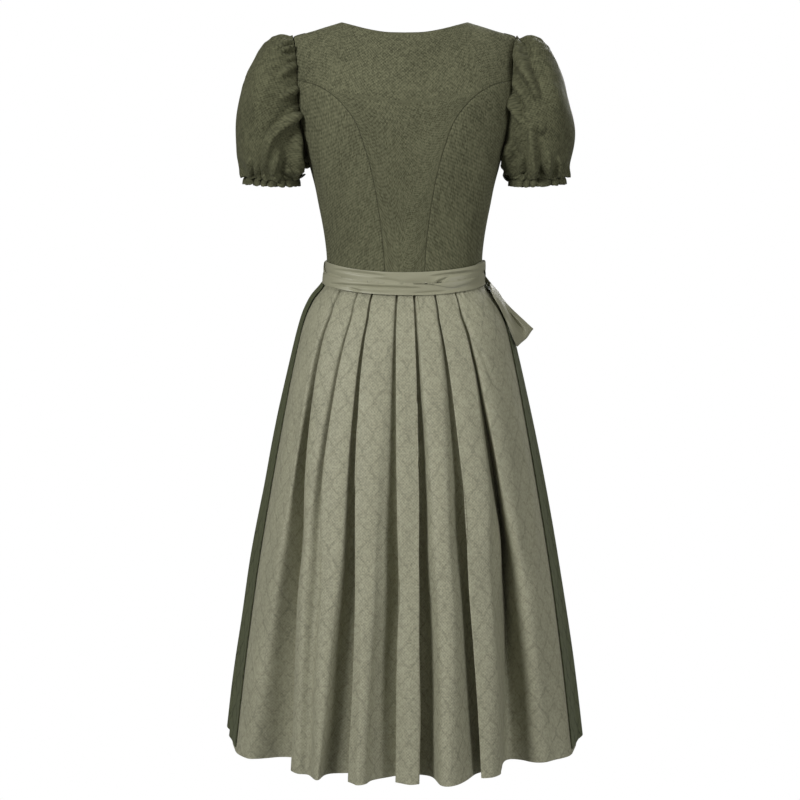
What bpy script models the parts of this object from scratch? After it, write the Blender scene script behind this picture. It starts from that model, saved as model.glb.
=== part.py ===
# Dirndl dress, worn shape with no wearer: a fitted bodice with curved seams, puff sleeves,
# a pleated skirt, and an apron whose ties cross at the centre back and meet in a bow.
#
# Metres, +Z up. +X is the wearer's right and +Y the wearer's front. The origin lies midway
# between the shoulders. "down" is a distance below the origin, an angle of 0 is the centre
# back, 90 degrees the wearer's right side, and 180 degrees the centre front.

import math

import bpy
from mathutils import Vector

# ---- driving sizes ----
WALL = 0.002                # bodice, skirt, apron and sleeve cloth
RIBBON = 0.0012             # satin of the ties and the bow
GAP = 0.0003                # between two sewn pieces
SHOULDER_TIP = 0.180        # from the centre out to the end of the shoulder
NECK_POINT = 0.1025         # from the centre out to the inner end of the shoulder
NECK_RISE = 0.0127          # of the neck point above the origin
SHOULDER_SLOPE = 0.307      # fall of the shoulder for each metre outwards
ROUND_FROM = 0.150          # down to here the torso closes towards the shoulder line
SQUARENESS = 0.15           # 0 gives elliptical sections, more gives fuller corners
WAIST = 0.392               # down to the waist seam at the sides
WAIST_DIP = 0.014           # the waist seam is this much lower at the centre back
HEM = 1.165                 # down to the skirt's hem
APRON_HEM = 1.157           # down to the apron's hem
SASH = 0.0375               # depth of the tied ribbon
SASH_LEVEL = 0.3905         # down to the ribbon's middle at the sides
APRON_EDGE = (84.0, 74.0)   # angle of the apron's side edges at the waist and at the hem
KNOT_ANGLE = 130.0          # where the bow is tied
KNOT_SIZE = (0.022, 0.030, 0.015)
RIBBON_CLEAR = 0.0015       # between the waist and a ribbon, and between two ribbons
APRON_CLEAR = 0.0022        # between the skirt's outermost folds and the apron
CUFF = 0.0165               # depth of the gathered sleeve end
STRIP_CLEAR = 0.0008        # between the fronts and the strip, and under the buttons
STRIP_HALF = 0.085          # half the button strip's width, as an angle in radians
BUTTONS = 6
BUTTON_SIZE = 0.0065        # radius
BUTTON_DEPTH = 0.003

COLOURS = {                 # linear red, green, blue and roughness
    "bodice_cloth": (0.115, 0.117, 0.078, 0.85),
    "skirt_jacquard": (0.300, 0.296, 0.216, 0.75),
    "apron_jacquard": (0.048, 0.054, 0.028, 0.75),
    "ribbon_satin": (0.270, 0.266, 0.190, 0.45),
    "button_horn": (0.110, 0.095, 0.060, 0.40),
}


class Table:
    """Rows with named columns, read between the rows along a smooth curve."""

    def __init__(self, names, rows):
        self.names = names.split()
        self.rows = rows

    def slope(self, index, column):
        before = self.rows[max(index - 1, 0)]
        after = self.rows[min(index + 1, len(self.rows) - 1)]
        return (after[column] - before[column]) / (after[0] - before[0])

    def read(self, name, place):
        column = self.names.index(name)
        k = 0
        while k < len(self.rows) - 2 and place > self.rows[k + 1][0]:
            k += 1
        start, end = self.rows[k], self.rows[k + 1]
        span = end[0] - start[0]
        t = min(max((place - start[0]) / span, 0.0), 1.0)
        value = start[column] * (1 + 2 * t) * (1 - t) ** 2 + end[column] * t * t * (3 - 2 * t)
        bend = self.slope(k, column) * (1 - t) - self.slope(k + 1, column) * t
        return value + span * t * (1 - t) * bend


# Sections of the bodice, from the shoulders to the waist.
TORSO = Table("down half back front", (
    (-0.046, 0.1825, 0.078, 0.068),
    (0.000, 0.1825, 0.084, 0.074),
    (0.050, 0.1815, 0.094, 0.084),
    (0.100, 0.1790, 0.102, 0.098),
    (0.150, 0.1710, 0.106, 0.116),
    (0.190, 0.1615, 0.107, 0.130),
    (0.218, 0.1545, 0.106, 0.134),
    (0.252, 0.1455, 0.103, 0.130),
    (0.280, 0.1400, 0.099, 0.121),
    (0.306, 0.1350, 0.096, 0.112),
    (0.332, 0.1308, 0.093, 0.104),
    (0.358, 0.1278, 0.091, 0.098),
    (0.375, 0.1270, 0.0905, 0.0955),
    (0.410, 0.1270, 0.0905, 0.0950),
))

# Sections of the skirt without its pleats. "fall" runs from the waist seam, 0, to the hem, 1,
# and "open" says how far the pleats have opened.
SKIRT = Table("fall half back front open", (
    (0.000, 0.1275, 0.0908, 0.0953, 0.05),
    (0.024, 0.1310, 0.0935, 0.0985, 0.06),
    (0.056, 0.1508, 0.1150, 0.1170, 0.12),
    (0.100, 0.1665, 0.1360, 0.1350, 0.22),
    (0.185, 0.1830, 0.1600, 0.1560, 0.36),
    (0.280, 0.1985, 0.1850, 0.1780, 0.48),
    (0.430, 0.2210, 0.2140, 0.2030, 0.63),
    (0.610, 0.2460, 0.2420, 0.2300, 0.78),
    (0.800, 0.2680, 0.2650, 0.2530, 0.90),
    (1.000, 0.2880, 0.2860, 0.2720, 1.00),
))

# The back pleats: the angle of each valley, how far its walls reach to either side, and its
# depth at the hem.
PLEATS = (
    # valley, left, right, depth
    (-82.0, 8.0, 8.0, 0.012),
    (-55.0, 9.0, 12.0, 0.054),
    (-37.0, 5.0, 5.0, 0.012),
    (-23.0, 5.0, 6.5, 0.034),
    (-6.5, 6.5, 2.5, 0.034),
    (7.5, 2.5, 4.0, 0.046),
    (22.5, 6.0, 2.5, 0.038),
    (44.0, 9.0, 8.0, 0.056),
    (82.0, 8.0, 8.0, 0.012),
)
FRONT_PLEATS = 8            # shallow ones, evenly spaced under the apron
FRONT_PLEAT_DEPTH = 0.014
APRON_FOLDS = 9             # soft folds across the apron
APRON_FOLD_DEPTH = 0.006

# Places on the bodice, as distances out from the centre and down. Each list runs downwards.
ARMHOLE_BACK_TOP = ((0.1800, 0.0111), (0.1762, 0.034), (0.1738, 0.058), (0.1726, 0.0815))
ARMHOLE_BACK_LOW = ((0.1726, 0.0815), (0.1703, 0.118), (0.1657, 0.156), (0.1600, 0.192), None)
ARMHOLE_FRONT_TOP = ((0.1800, 0.0111), (0.1700, 0.036), (0.1630, 0.066), (0.1590, 0.098))
ARMHOLE_FRONT_LOW = ((0.1590, 0.098), (0.1570, 0.132), (0.1560, 0.164), (0.1555, 0.194), None)
UNDERARM = 0.212
BACK_SEAM = (
    (0.1726, 0.0815), (0.1480, 0.0882), (0.1245, 0.0998), (0.1060, 0.1140), (0.0900, 0.1318),
    (0.0765, 0.1520), (0.0665, 0.1790), (0.0560, 0.2130), (0.0460, 0.2580), (0.0385, 0.3080),
    (0.0340, 0.3500), (0.0315, 0.4000),
)
FRONT_SEAM = (
    (0.1590, 0.098), (0.1400, 0.106), (0.1230, 0.120), (0.1090, 0.140), (0.0980, 0.166),
    (0.0900, 0.198), (0.0840, 0.234), (0.0770, 0.280), (0.0700, 0.325), (0.0660, 0.352),
    (0.0640, 0.372), (0.0620, 0.392),
)
BACK_NECK = ((0.0, 0.0075), (0.030, 0.0062), (0.058, 0.0010), (0.084, -0.0065), (0.1025, -0.0127))
FRONT_NECK = ((0.0, 0.138), (0.034, 0.134), (0.062, 0.117), (0.080, 0.086), (0.0925, 0.038),
              (0.1025, -0.0127))
SHOULDER_STEPS = 3

# Sections of a puff sleeve, fanned round a point under the arm. "turn" is the fan's angle from
# straight up; "inner" and "outer" are distances from that point, "wide" is half the width.
SLEEVE_PIVOT = (0.156, 0.238)
SLEEVE = Table("turn inner outer wide gather", (
    (12.0, 0.0290, 0.2325, 0.0560, 0.0022),
    (19.0, 0.0275, 0.2230, 0.0660, 0.0030),
    (30.0, 0.0260, 0.1950, 0.0730, 0.0022),
    (43.0, 0.0240, 0.1620, 0.0755, 0.0012),
    (56.0, 0.0215, 0.1415, 0.0740, 0.0012),
    (69.0, 0.0185, 0.1250, 0.0690, 0.0020),
    (79.0, 0.0160, 0.1130, 0.0600, 0.0026),
    (87.0, 0.0140, 0.1040, 0.0500, 0.0018),
))
CUFF_TILT = 0.16            # the sleeve ends lower at the back and front than at the sides


def fresh_scene():
    for thing in list(bpy.data.objects):
        bpy.data.objects.remove(thing, do_unlink=True)
    group = bpy.data.collections.new("dirndl_dress")
    bpy.context.scene.collection.children.link(group)
    return group


def material(name):
    finish = bpy.data.materials.get(name)
    if finish is None:
        red, green, blue, rough = COLOURS[name]
        finish = bpy.data.materials.new(name)
        finish.use_nodes = True
        shader = finish.node_tree.nodes["Principled BSDF"]
        shader.inputs["Base Color"].default_value = (red, green, blue, 1.0)
        shader.inputs["Roughness"].default_value = rough
        shader.inputs["Metallic"].default_value = 0.0
    return finish


def add_object(name, points, faces, cloth):
    mesh = bpy.data.meshes.new(name)
    mesh.from_pydata(points, [], faces)
    mesh.shade_smooth()
    mesh.materials.append(material(cloth))
    piece = bpy.data.objects.new(name, mesh)
    DRESS.objects.link(piece)
    return piece


def keep_in_dress(piece):
    for group in list(piece.users_collection):
        group.objects.unlink(piece)
    DRESS.objects.link(piece)


# ---- the body surface that every piece is cut on ----

def full_section(half, depth, angle):
    """A point of a rounded section; angles are in radians."""
    side, back = math.sin(angle), math.cos(angle)
    across = half * side * (1 + SQUARENESS * back * back)
    return across, -depth * back * (1 + SQUARENESS * side * side)


def angle_at(out, half, front):
    """The angle whose point on a section lies this far out from the centre."""
    low, high = 0.0, math.pi / 2
    for _ in range(40):
        middle = (low + high) / 2
        if full_section(half, 1.0, middle)[0] < out:
            low = middle
        else:
            high = middle
    return math.pi - low if front else low


def torso(angle, down):
    half = TORSO.read("half", down)
    face = "back" if math.cos(angle) > 0 else "front"
    x, y = full_section(half, TORSO.read(face, down), angle)
    if down < ROUND_FROM:
        shoulder = (abs(x) - NECK_POINT) * SHOULDER_SLOPE - NECK_RISE
        rise = (ROUND_FROM - down) / (ROUND_FROM - shoulder)
        y *= math.sqrt(max(0.0, 1 - rise * rise))
    return Vector((x, y, -down))


def waist_at(angle):
    return WAIST + WAIST_DIP * max(0.0, math.cos(angle)) ** 2


def pleat_depth(angle):
    place = (math.degrees(angle) + 180) % 360 - 180
    for valley, left, right, depth in PLEATS:
        if valley - left < place < valley + right:
            reach = left if place < valley else right
            return depth * (0.5 + 0.5 * math.cos(math.pi * (place - valley) / reach))
    if abs(place) > 95:
        wave = math.cos(math.pi * 2 * FRONT_PLEATS * (abs(place) - 180) / 170)
        return FRONT_PLEAT_DEPTH * (0.5 - 0.5 * wave)
    return 0.0


def skirt_block(angle, fall, depth):
    """The skirt's surface, taken in by a depth towards its axis."""
    face = "back" if math.cos(angle) > 0 else "front"
    x, y = full_section(SKIRT.read("half", fall), SKIRT.read(face, fall), angle)
    inward = 1 - depth / math.hypot(x, y)
    top = waist_at(angle)
    return Vector((x * inward, y * inward, -top - (HEM - top) * fall))


def skirt(angle, fall):
    return skirt_block(angle, fall, pleat_depth(angle) * SKIRT.read("open", fall))


def apron(angle, fall):
    wave = math.cos(APRON_FOLDS * 2 * math.radians(180 / 200) * math.degrees(angle - math.pi))
    rise = APRON_FOLD_DEPTH * SKIRT.read("open", fall) * (0.5 + 0.5 * wave)
    return skirt_block(angle, fall, -rise)


def waistline(angle, down):
    """The torso above the waist seam and the top of the skirt below it."""
    top = waist_at(angle)
    if down <= top:
        return torso(angle, down)
    return skirt_block(angle, (down - top) / (HEM - top), 0.0)


def moved_out(surface, angle, down, distance):
    """The surface's point, moved out square to the surface."""
    step, drop = 0.004, 0.00003
    across = surface(angle + step, down) - surface(angle - step, down)
    along = surface(angle, down + drop) - surface(angle, down)
    return surface(angle, down) + along.cross(across).normalized() * distance


# ---- cloth ----

def skins(surface, grid, out, wall):
    outer = [[moved_out(surface, a, d, out) for a, d in row] for row in grid]
    inner = [[moved_out(surface, a, d, out - wall) for a, d in row] for row in grid]
    return outer, inner


def pull_back(outer, inner, distance):
    """Draws the four edges of a panel back by half the seam gap, square to each edge."""
    for _ in range(2):
        for rows in (1, -1):
            edge, beside = (0, 1) if rows == 1 else (-1, -2)
            count = len(outer[0])
            shifts = []
            for k in range(count):
                along = outer[edge][min(k + 1, count - 1)] - outer[edge][max(k - 1, 0)]
                along.normalize()
                inward = outer[beside][k] - outer[edge][k]
                inward = (inward - inward.dot(along) * along).normalized()
                shifts.append(inward * distance)
            for k, shift in enumerate(shifts):
                outer[edge][k] = outer[edge][k] + shift
                inner[edge][k] = inner[edge][k] + shift
        outer = [list(row) for row in zip(*outer)]
        inner = [list(row) for row in zip(*inner)]
    return outer, inner


def close_panel(name, outer, inner, cloth):
    """One closed wall from an outer and an inner skin of the same grid."""
    rows, columns = len(outer), len(outer[0])
    points = [p for row in outer for p in row] + [p for row in inner for p in row]
    back = rows * columns
    faces = []
    for i in range(rows - 1):
        for j in range(columns - 1):
            a, b = i * columns + j, (i + 1) * columns + j
            faces.append((a, b, b + 1, a + 1))
            faces.append((back + a, back + a + 1, back + b + 1, back + b))
    last = (rows - 1) * columns
    for j in range(columns - 1):
        faces.append((j, j + 1, back + j + 1, back + j))
        faces.append((last + j + 1, last + j, back + last + j, back + last + j + 1))
    for i in range(rows - 1):
        a, b = i * columns, (i + 1) * columns
        faces.append((b, a, back + a, back + b))
        a, b = a + columns - 1, b + columns - 1
        faces.append((a, b, back + b, back + a))
    return add_object(name, points, faces, cloth)


def mirrored(grid):
    return [[Vector((-p.x, p.y, p.z)) for p in reversed(row)] for row in grid]


def tube(name, rings, cloth, wall):
    """Cloth through closed rings, with its wall outside them."""
    count = len(rings[0])
    points = [p for ring in rings for p in ring]
    faces = []
    for i in range(len(rings) - 1):
        for j in range(count):
            k = (j + 1) % count
            a, b = i * count, (i + 1) * count
            faces.append((a + j, b + j, b + k, a + k))
    piece = add_object(name, points, faces, cloth)
    cloth_wall = piece.modifiers.new("wall", "SOLIDIFY")
    cloth_wall.thickness = wall
    cloth_wall.offset = 0.0
    return piece


# ---- bodice ----

def on_bodice(places, front):
    """Angles and heights for places given as distances out and down; None is the underarm."""
    found = []
    for place in places:
        if place is None:
            found.append((math.pi / 2, UNDERARM))
        else:
            out, down = place
            found.append((angle_at(out, TORSO.read("half", down), front), down))
    return found


def fill(left, right, top, bottom):
    """A grid of angles and heights between four edges."""
    rows, columns = len(left), len(top)
    grid = []
    for i in range(rows):
        v = i / (rows - 1)
        row = []
        for j in range(columns):
            u = j / (columns - 1)
            place = []
            for c in range(2):
                across = left[i][c] * (1 - u) + right[i][c] * u
                along = top[j][c] * (1 - v) + bottom[j][c] * v
                corners = ((top[0][c] * (1 - u) + top[-1][c] * u) * (1 - v)
                           + (bottom[0][c] * (1 - u) + bottom[-1][c] * u) * v)
                place.append(across + along - corners)
            row.append(tuple(place))
        grid.append(row)
    return grid


def waist_run(start, end, steps):
    angles = [start + (end - start) * k / steps for k in range(steps + 1)]
    return [(angle, waist_at(angle)) for angle in angles]


def shoulder_edge(front):
    """From the neck point out along the shoulder to its tip."""
    places = []
    for k in range(SHOULDER_STEPS + 1):
        out = NECK_POINT + (SHOULDER_TIP - NECK_POINT) * k / SHOULDER_STEPS
        places.append((out, (out - NECK_POINT) * SHOULDER_SLOPE - NECK_RISE))
    return on_bodice(places, front)


def seam_to_waist(places, front):
    edge = on_bodice(places, front)
    angle = edge[-1][0]
    edge[-1] = (angle, waist_at(angle))
    return edge


def back_panel():
    """Half of the back: the neckline and the shoulder on top, the armhole and seam outside."""
    seam = seam_to_waist(BACK_SEAM, False)
    outer_edge = on_bodice(ARMHOLE_BACK_TOP, False)[:-1] + seam
    top = on_bodice(BACK_NECK, False) + shoulder_edge(False)[1:]
    rows = len(outer_edge)
    start, end = top[0][1], waist_at(0.0)
    centre = [(0.0, start + (end - start) * k / (rows - 1)) for k in range(rows)]
    return fill(centre, outer_edge, top, waist_run(0.0, seam[-1][0], len(top) - 1))


def front_panel():
    """One front: only the shoulder on top, and the deep neckline above the centre edge."""
    seam = seam_to_waist(FRONT_SEAM, True)
    outer_edge = on_bodice(ARMHOLE_FRONT_TOP, True)[:-1] + seam
    top = shoulder_edge(True)
    neck = on_bodice(reversed(FRONT_NECK), True)
    below = len(outer_edge) - len(neck)
    start, end = neck[-1][1], waist_at(math.pi)
    centre = [(math.pi, start + (end - start) * k / below) for k in range(1, below + 1)]
    return fill(neck + centre, outer_edge, top, waist_run(math.pi, seam[-1][0], len(top) - 1))


def side_panel(front):
    """From the curved seam round to the side seam."""
    seam = seam_to_waist(FRONT_SEAM if front else BACK_SEAM, front)
    arm = on_bodice(ARMHOLE_FRONT_LOW if front else ARMHOLE_BACK_LOW, front)
    rows = len(seam)
    side = math.pi / 2
    start, end = UNDERARM, waist_at(side)
    side_seam = [(side, start + (end - start) * k / (rows - 1)) for k in range(rows)]
    return fill(seam, side_seam, arm, waist_run(seam[-1][0], side, len(arm) - 1))


def bodice():
    half = back_panel()
    whole = [[(-a, d) for a, d in reversed(row[1:])] + row for row in half]
    outer, inner = pull_back(*skins(torso, whole, 0.0, WALL), GAP / 2)
    close_panel("back_centre", outer, inner, "bodice_cloth")
    for name, grid in (("back_side", side_panel(front=False)),
                       ("front_side", side_panel(front=True)),
                       ("front_centre", front_panel())):
        if name.startswith("front"):
            grid = [list(reversed(row)) for row in grid]
        outer, inner = pull_back(*skins(torso, grid, 0.0, WALL), GAP / 2)
        close_panel(name + "_right", outer, inner, "bodice_cloth")
        close_panel(name + "_left", mirrored(outer), mirrored(inner), "bodice_cloth")


def front_closing():
    """A strip over the meeting edges of the two fronts, and the buttons down its middle."""
    sash_top = SASH_LEVEL - SASH / 2
    downs = [down for angle, down in (row[0] for row in front_panel())
             if angle > math.pi - 0.001 and down < sash_top]
    grid = [[(math.pi + STRIP_HALF * side, down) for side in (-1, 0, 1)] for down in downs]
    outer, inner = skins(torso, grid, STRIP_CLEAR + WALL, WALL)
    close_panel("button_strip", outer, inner, "bodice_cloth")
    start, end = downs[0], downs[-1]
    for k in range(BUTTONS):
        down = start + (end - start) * (k + 0.5) / BUTTONS
        lift = STRIP_CLEAR + WALL + STRIP_CLEAR + BUTTON_DEPTH / 2
        place = moved_out(torso, math.pi, down, lift)
        facing = (place - torso(math.pi, down)).normalized()
        bpy.ops.mesh.primitive_cylinder_add(vertices=12, radius=BUTTON_SIZE,
                                            depth=BUTTON_DEPTH, location=place)
        button = bpy.context.object
        button.name = button.data.name = f"button_{k + 1}"
        button.rotation_euler = facing.to_track_quat("Z", "Y").to_euler()
        button.data.materials.append(material("button_horn"))
        keep_in_dress(button)


# ---- sleeves ----

def armhole():
    """The armhole of the wearer's right arm, from the shoulder down the back and up the front."""
    back = on_bodice(ARMHOLE_BACK_TOP, False) + on_bodice(ARMHOLE_BACK_LOW, False)[1:]
    front = on_bodice(ARMHOLE_FRONT_TOP, True) + on_bodice(ARMHOLE_FRONT_LOW, True)[1:]
    ring = back + list(reversed(front))[1:-1]
    points = [moved_out(torso, a, d, GAP * 3) for a, d in ring]
    doubled = []
    for k, point in enumerate(points):
        doubled.append(point)
        doubled.append((point + points[(k + 1) % len(points)]) / 2)
    return doubled


def sleeve_ring(turn, count):
    inner, outer = SLEEVE.read("inner", turn), SLEEVE.read("outer", turn)
    wide, gather = SLEEVE.read("wide", turn), SLEEVE.read("gather", turn)
    beta = math.radians(turn)
    ring = []
    for k in range(count):
        round_it = 2 * math.pi * k / count
        pucker = gather * (1 if k % 2 else -1) * (0.4 + 0.6 * max(0.0, math.cos(round_it)))
        reach = (outer - inner) / 2 + pucker
        from_pivot = (inner + outer) / 2 + reach * math.cos(round_it)
        y = -(wide + pucker) * math.sin(round_it)
        x = SLEEVE_PIVOT[0] + from_pivot * math.sin(beta)
        z = -SLEEVE_PIVOT[1] + from_pivot * math.cos(beta)
        z -= CUFF_TILT * abs(y) * max(0.0, math.sin(beta) - 0.7)
        ring.append(Vector((x, y, z)))
    return ring


def sleeve_rings():
    start = armhole()
    return [start] + [sleeve_ring(row[0], len(start)) for row in SLEEVE.rows]


def cuff_rings(last):
    """A drawn-in band and a ruffled edge below the sleeve."""
    centre = sum(last, Vector()) / len(last)
    rings = []
    for part, size, ruffle in ((0.02, 0.985, 0.0), (0.40, 0.955, 0.0012), (1.0, 1.0, 0.0032)):
        ring = []
        for k, point in enumerate(last):
            outwards = (point - centre).normalized()
            wave = ruffle * (1 if k % 2 else -1)
            place = centre + (point - centre) * size + outwards * wave
            place.z -= GAP * 5 + CUFF * part
            ring.append(place)
        rings.append(ring)
    return rings


def sleeves():
    for side, mirror in (("right", False), ("left", True)):
        rings = sleeve_rings()
        cuff = cuff_rings(rings[-1])
        if mirror:
            rings, cuff = mirrored(rings), mirrored(cuff)
        tube(f"sleeve_{side}", rings, "bodice_cloth", WALL)
        tube(f"cuff_{side}", cuff, "bodice_cloth", WALL)


# ---- skirt and apron ----

def pleat_angles(start, end):
    """Columns on each ridge, valley and pleat wall between two angles, in degrees."""
    wanted = [start, end]
    for valley, left, right, _ in PLEATS:
        wanted += [valley - left, valley - left / 2, valley, valley + right / 2, valley + right]
    step = 170 / FRONT_PLEATS / 2
    wanted += [95 + step * k for k in range(2 * FRONT_PLEATS + 1)]
    wanted.sort()
    chosen = []
    for angle in wanted:
        if start <= angle <= end and (not chosen or angle - chosen[-1] > 1.2):
            chosen.append(angle)
    chosen[-1] = end
    return [math.radians(a) for a in chosen]


def skirt_pieces():
    seam = 90.0
    for name, start, end in (("skirt_back", -seam, seam), ("skirt_front", seam, 360 - seam)):
        angles = pleat_angles(start, end)
        grid = [[(a, row[0]) for a in angles] for row in SKIRT.rows]
        outer, inner = pull_back(*skins(skirt, grid, 0.0, WALL), GAP / 2)
        close_panel(name, outer, inner, "skirt_jacquard")


def apron_piece():
    columns = 26
    falls = [row[0] for row in SKIRT.rows[2:-1]]
    grid = []
    for i in range(len(falls) + 2):
        share = 0.0 if i == 0 else (falls + [1.0])[i - 1]
        edge = math.radians(APRON_EDGE[0] + (APRON_EDGE[1] - APRON_EDGE[0]) * share ** 0.5)
        row = []
        for j in range(columns + 1):
            angle = edge + (2 * math.pi - 2 * edge) * j / columns
            top = waist_at(angle)
            fall = share * (APRON_HEM - top) / (HEM - top)
            if i == 0:
                fall = (sash_level(angle) + SASH / 2 + 6 * GAP - top) / (HEM - top)
            row.append((angle, fall))
        grid.append(row)
    outer, inner = skins(apron, grid, APRON_CLEAR + WALL, WALL)
    close_panel("apron", outer, inner, "apron_jacquard")


# ---- waistband, ties and bow ----

def sash_level(angle):
    return SASH_LEVEL + WAIST_DIP * max(0.0, math.cos(angle)) ** 2


# The ties, from the waistband's end to the bow. "top" and "bottom" are parts of the ribbon's
# half depth, and "layer" counts the ribbons from the waist outwards.
TIE_LEFT = Table("angle top bottom layer", (
    (-85.0, 1.0, -1.0, 1.0), (-60.0, 1.0, -1.0, 1.0), (-20.0, 1.0, -1.0, 1.0),
    (25.0, 1.0, -1.0, 1.0), (40.0, 1.0, -0.6, 1.0), (52.0, 1.0, 0.12, 1.0),
    (60.0, 1.0, 0.12, 2.0), (72.0, 1.0, -0.4, 2.0), (86.0, 1.0, -1.0, 2.0),
    (KNOT_ANGLE - 1.0, 0.9, -0.9, 2.0),
))
TIE_RIGHT = Table("angle top bottom layer", (
    (KNOT_ANGLE - 359.0, 0.9, -0.9, 2.0), (-185.0, 1.0, -1.0, 2.0), (-90.0, 1.0, -1.0, 2.0),
    (-20.0, 1.0, -1.0, 2.0), (25.0, 1.0, -1.0, 2.0), (40.0, 0.6, -1.0, 2.0),
    (52.0, -0.12, -1.0, 2.0), (60.0, -0.12, -1.0, 1.0), (72.0, 0.4, -1.0, 1.0),
    (85.0, 1.0, -1.0, 1.0),
))


def layer_out(layer):
    return RIBBON_CLEAR + RIBBON + (layer - 1) * (RIBBON + RIBBON_CLEAR)


def ribbon_round(name, table, step):
    first, last = table.rows[0][0], table.rows[-1][0]
    places = set(row[0] for row in table.rows)
    count = int((last - first) / step)
    places |= set(first + (last - first) * k / count for k in range(count + 1))
    chosen = []
    for place in sorted(places):
        if not chosen or place - chosen[-1] > 2.5:
            chosen.append(place)
    chosen[-1] = last
    outer, inner = [[], []], [[], []]
    for place in chosen:
        angle = math.radians(place)
        out = layer_out(table.read("layer", place))
        for i, edge in enumerate(("top", "bottom")):
            down = sash_level(angle) - table.read(edge, place) * SASH / 2
            outer[i].append(moved_out(waistline, angle, down, out))
            inner[i].append(moved_out(waistline, angle, down, out - RIBBON))
    return close_panel(name, outer, inner, "ribbon_satin")


def waistband():
    band = Table("angle top bottom layer", ((88.0, 0.97, -0.97, 1.0), (180.0, 0.97, -0.97, 1.0),
                                            (272.0, 0.97, -0.97, 1.0)))
    ribbon_round("apron_waistband", band, 8.0)


# The bow, as the two edges of a ribbon laid over the waist and the apron. Each edge is an
# angle, a distance down, and how far it stands out from the dress.
BOW = {
    "bow_loop_side": (
        # upper edge             lower edge
        (121.0, 0.384, 0.012), (121.0, 0.398, 0.012),
        (112.0, 0.404, 0.017), (114.0, 0.421, 0.019),
        (104.0, 0.432, 0.021), (115.0, 0.456, 0.026),
        (99.0, 0.459, 0.030), (109.0, 0.486, 0.021),
        (96.0, 0.480, 0.037), (102.0, 0.508, 0.012),
        (95.0, 0.465, 0.019), (104.0, 0.492, 0.007),
        (99.0, 0.439, 0.014), (110.0, 0.462, 0.007),
        (107.0, 0.410, 0.013), (111.0, 0.426, 0.009),
        (120.0, 0.388, 0.008), (120.0, 0.399, 0.008),
    ),
    "bow_loop_front": (
        (139.0, 0.384, 0.012), (139.0, 0.398, 0.012),
        (148.0, 0.392, 0.020), (147.0, 0.416, 0.021),
        (157.0, 0.410, 0.024), (153.0, 0.441, 0.025),
        (165.0, 0.432, 0.019), (159.0, 0.464, 0.018),
        (158.0, 0.416, 0.009), (153.0, 0.446, 0.008),
        (148.0, 0.398, 0.008), (147.0, 0.419, 0.008),
        (140.0, 0.388, 0.008), (140.0, 0.399, 0.008),
    ),
    "bow_tail_side": (
        (126.0, 0.421, 0.009), (132.0, 0.421, 0.009),
        (123.0, 0.448, 0.009), (133.0, 0.448, 0.009),
        (121.0, 0.500, 0.006), (132.5, 0.504, 0.006),
        (120.0, 0.580, 0.006), (131.0, 0.580, 0.006),
        (118.5, 0.650, 0.006), (129.0, 0.628, 0.006),
    ),
    "bow_tail_front": (
        (135.0, 0.421, 0.009), (139.5, 0.421, 0.009),
        (138.0, 0.448, 0.009), (147.0, 0.446, 0.009),
        (140.0, 0.500, 0.006), (150.5, 0.494, 0.006),
        (141.0, 0.570, 0.006), (151.5, 0.564, 0.006),
        (141.5, 0.615, 0.006), (151.5, 0.640, 0.006),
    ),
}


def over_apron(angle, down):
    """The outermost surface at the waist and over the apron."""
    top = waist_at(angle)
    if down <= top:
        return torso(angle, down)
    fall = (down - top) / (HEM - top)
    return skirt_block(angle, fall, -APRON_FOLD_DEPTH * SKIRT.read("open", fall))


def ribbon_strip(name, edges):
    """A ribbon through its upper and lower edges, which take turns in the list."""
    clear = layer_out(3)
    points = [moved_out(over_apron, math.radians(a), d, clear + out) for a, d, out in edges]
    faces = [(k, k + 1, k + 3, k + 2) for k in range(0, len(points) - 2, 2)]
    piece = add_object(name, points, faces, "ribbon_satin")
    wall = piece.modifiers.new("wall", "SOLIDIFY")
    wall.thickness = RIBBON
    wall.offset = 0.0


def bow():
    angle = math.radians(KNOT_ANGLE)
    place = moved_out(waistline, angle, SASH_LEVEL, layer_out(3) + 0.0075)
    facing = (place - waistline(angle, SASH_LEVEL)).normalized()
    bpy.ops.mesh.primitive_cube_add(size=1.0, location=place)
    knot = bpy.context.object
    knot.name = knot.data.name = "bow_knot"
    knot.scale = KNOT_SIZE
    knot.rotation_euler = facing.to_track_quat("Z", "Y").to_euler()
    bpy.ops.object.transform_apply(location=False, rotation=False, scale=True)
    rounded = knot.modifiers.new("rounded", "BEVEL")
    rounded.width = 0.005
    rounded.segments = 2
    knot.data.materials.append(material("ribbon_satin"))
    keep_in_dress(knot)
    for name, edges in BOW.items():
        ribbon_strip(name, edges)


DRESS = fresh_scene()
bodice()
front_closing()
sleeves()
skirt_pieces()
apron_piece()
waistband()
ribbon_round("tie_left", TIE_LEFT, 10.0)
ribbon_round("tie_right", TIE_RIGHT, 10.0)
bow()
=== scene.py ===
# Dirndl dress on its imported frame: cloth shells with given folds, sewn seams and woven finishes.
# Metres, +Z up, +X the wearer's right, +Y the wearer's front, origin between the shoulders.
# "down" is a distance below the origin; an angle of 0 is the centre back, 90 the right side.

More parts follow.
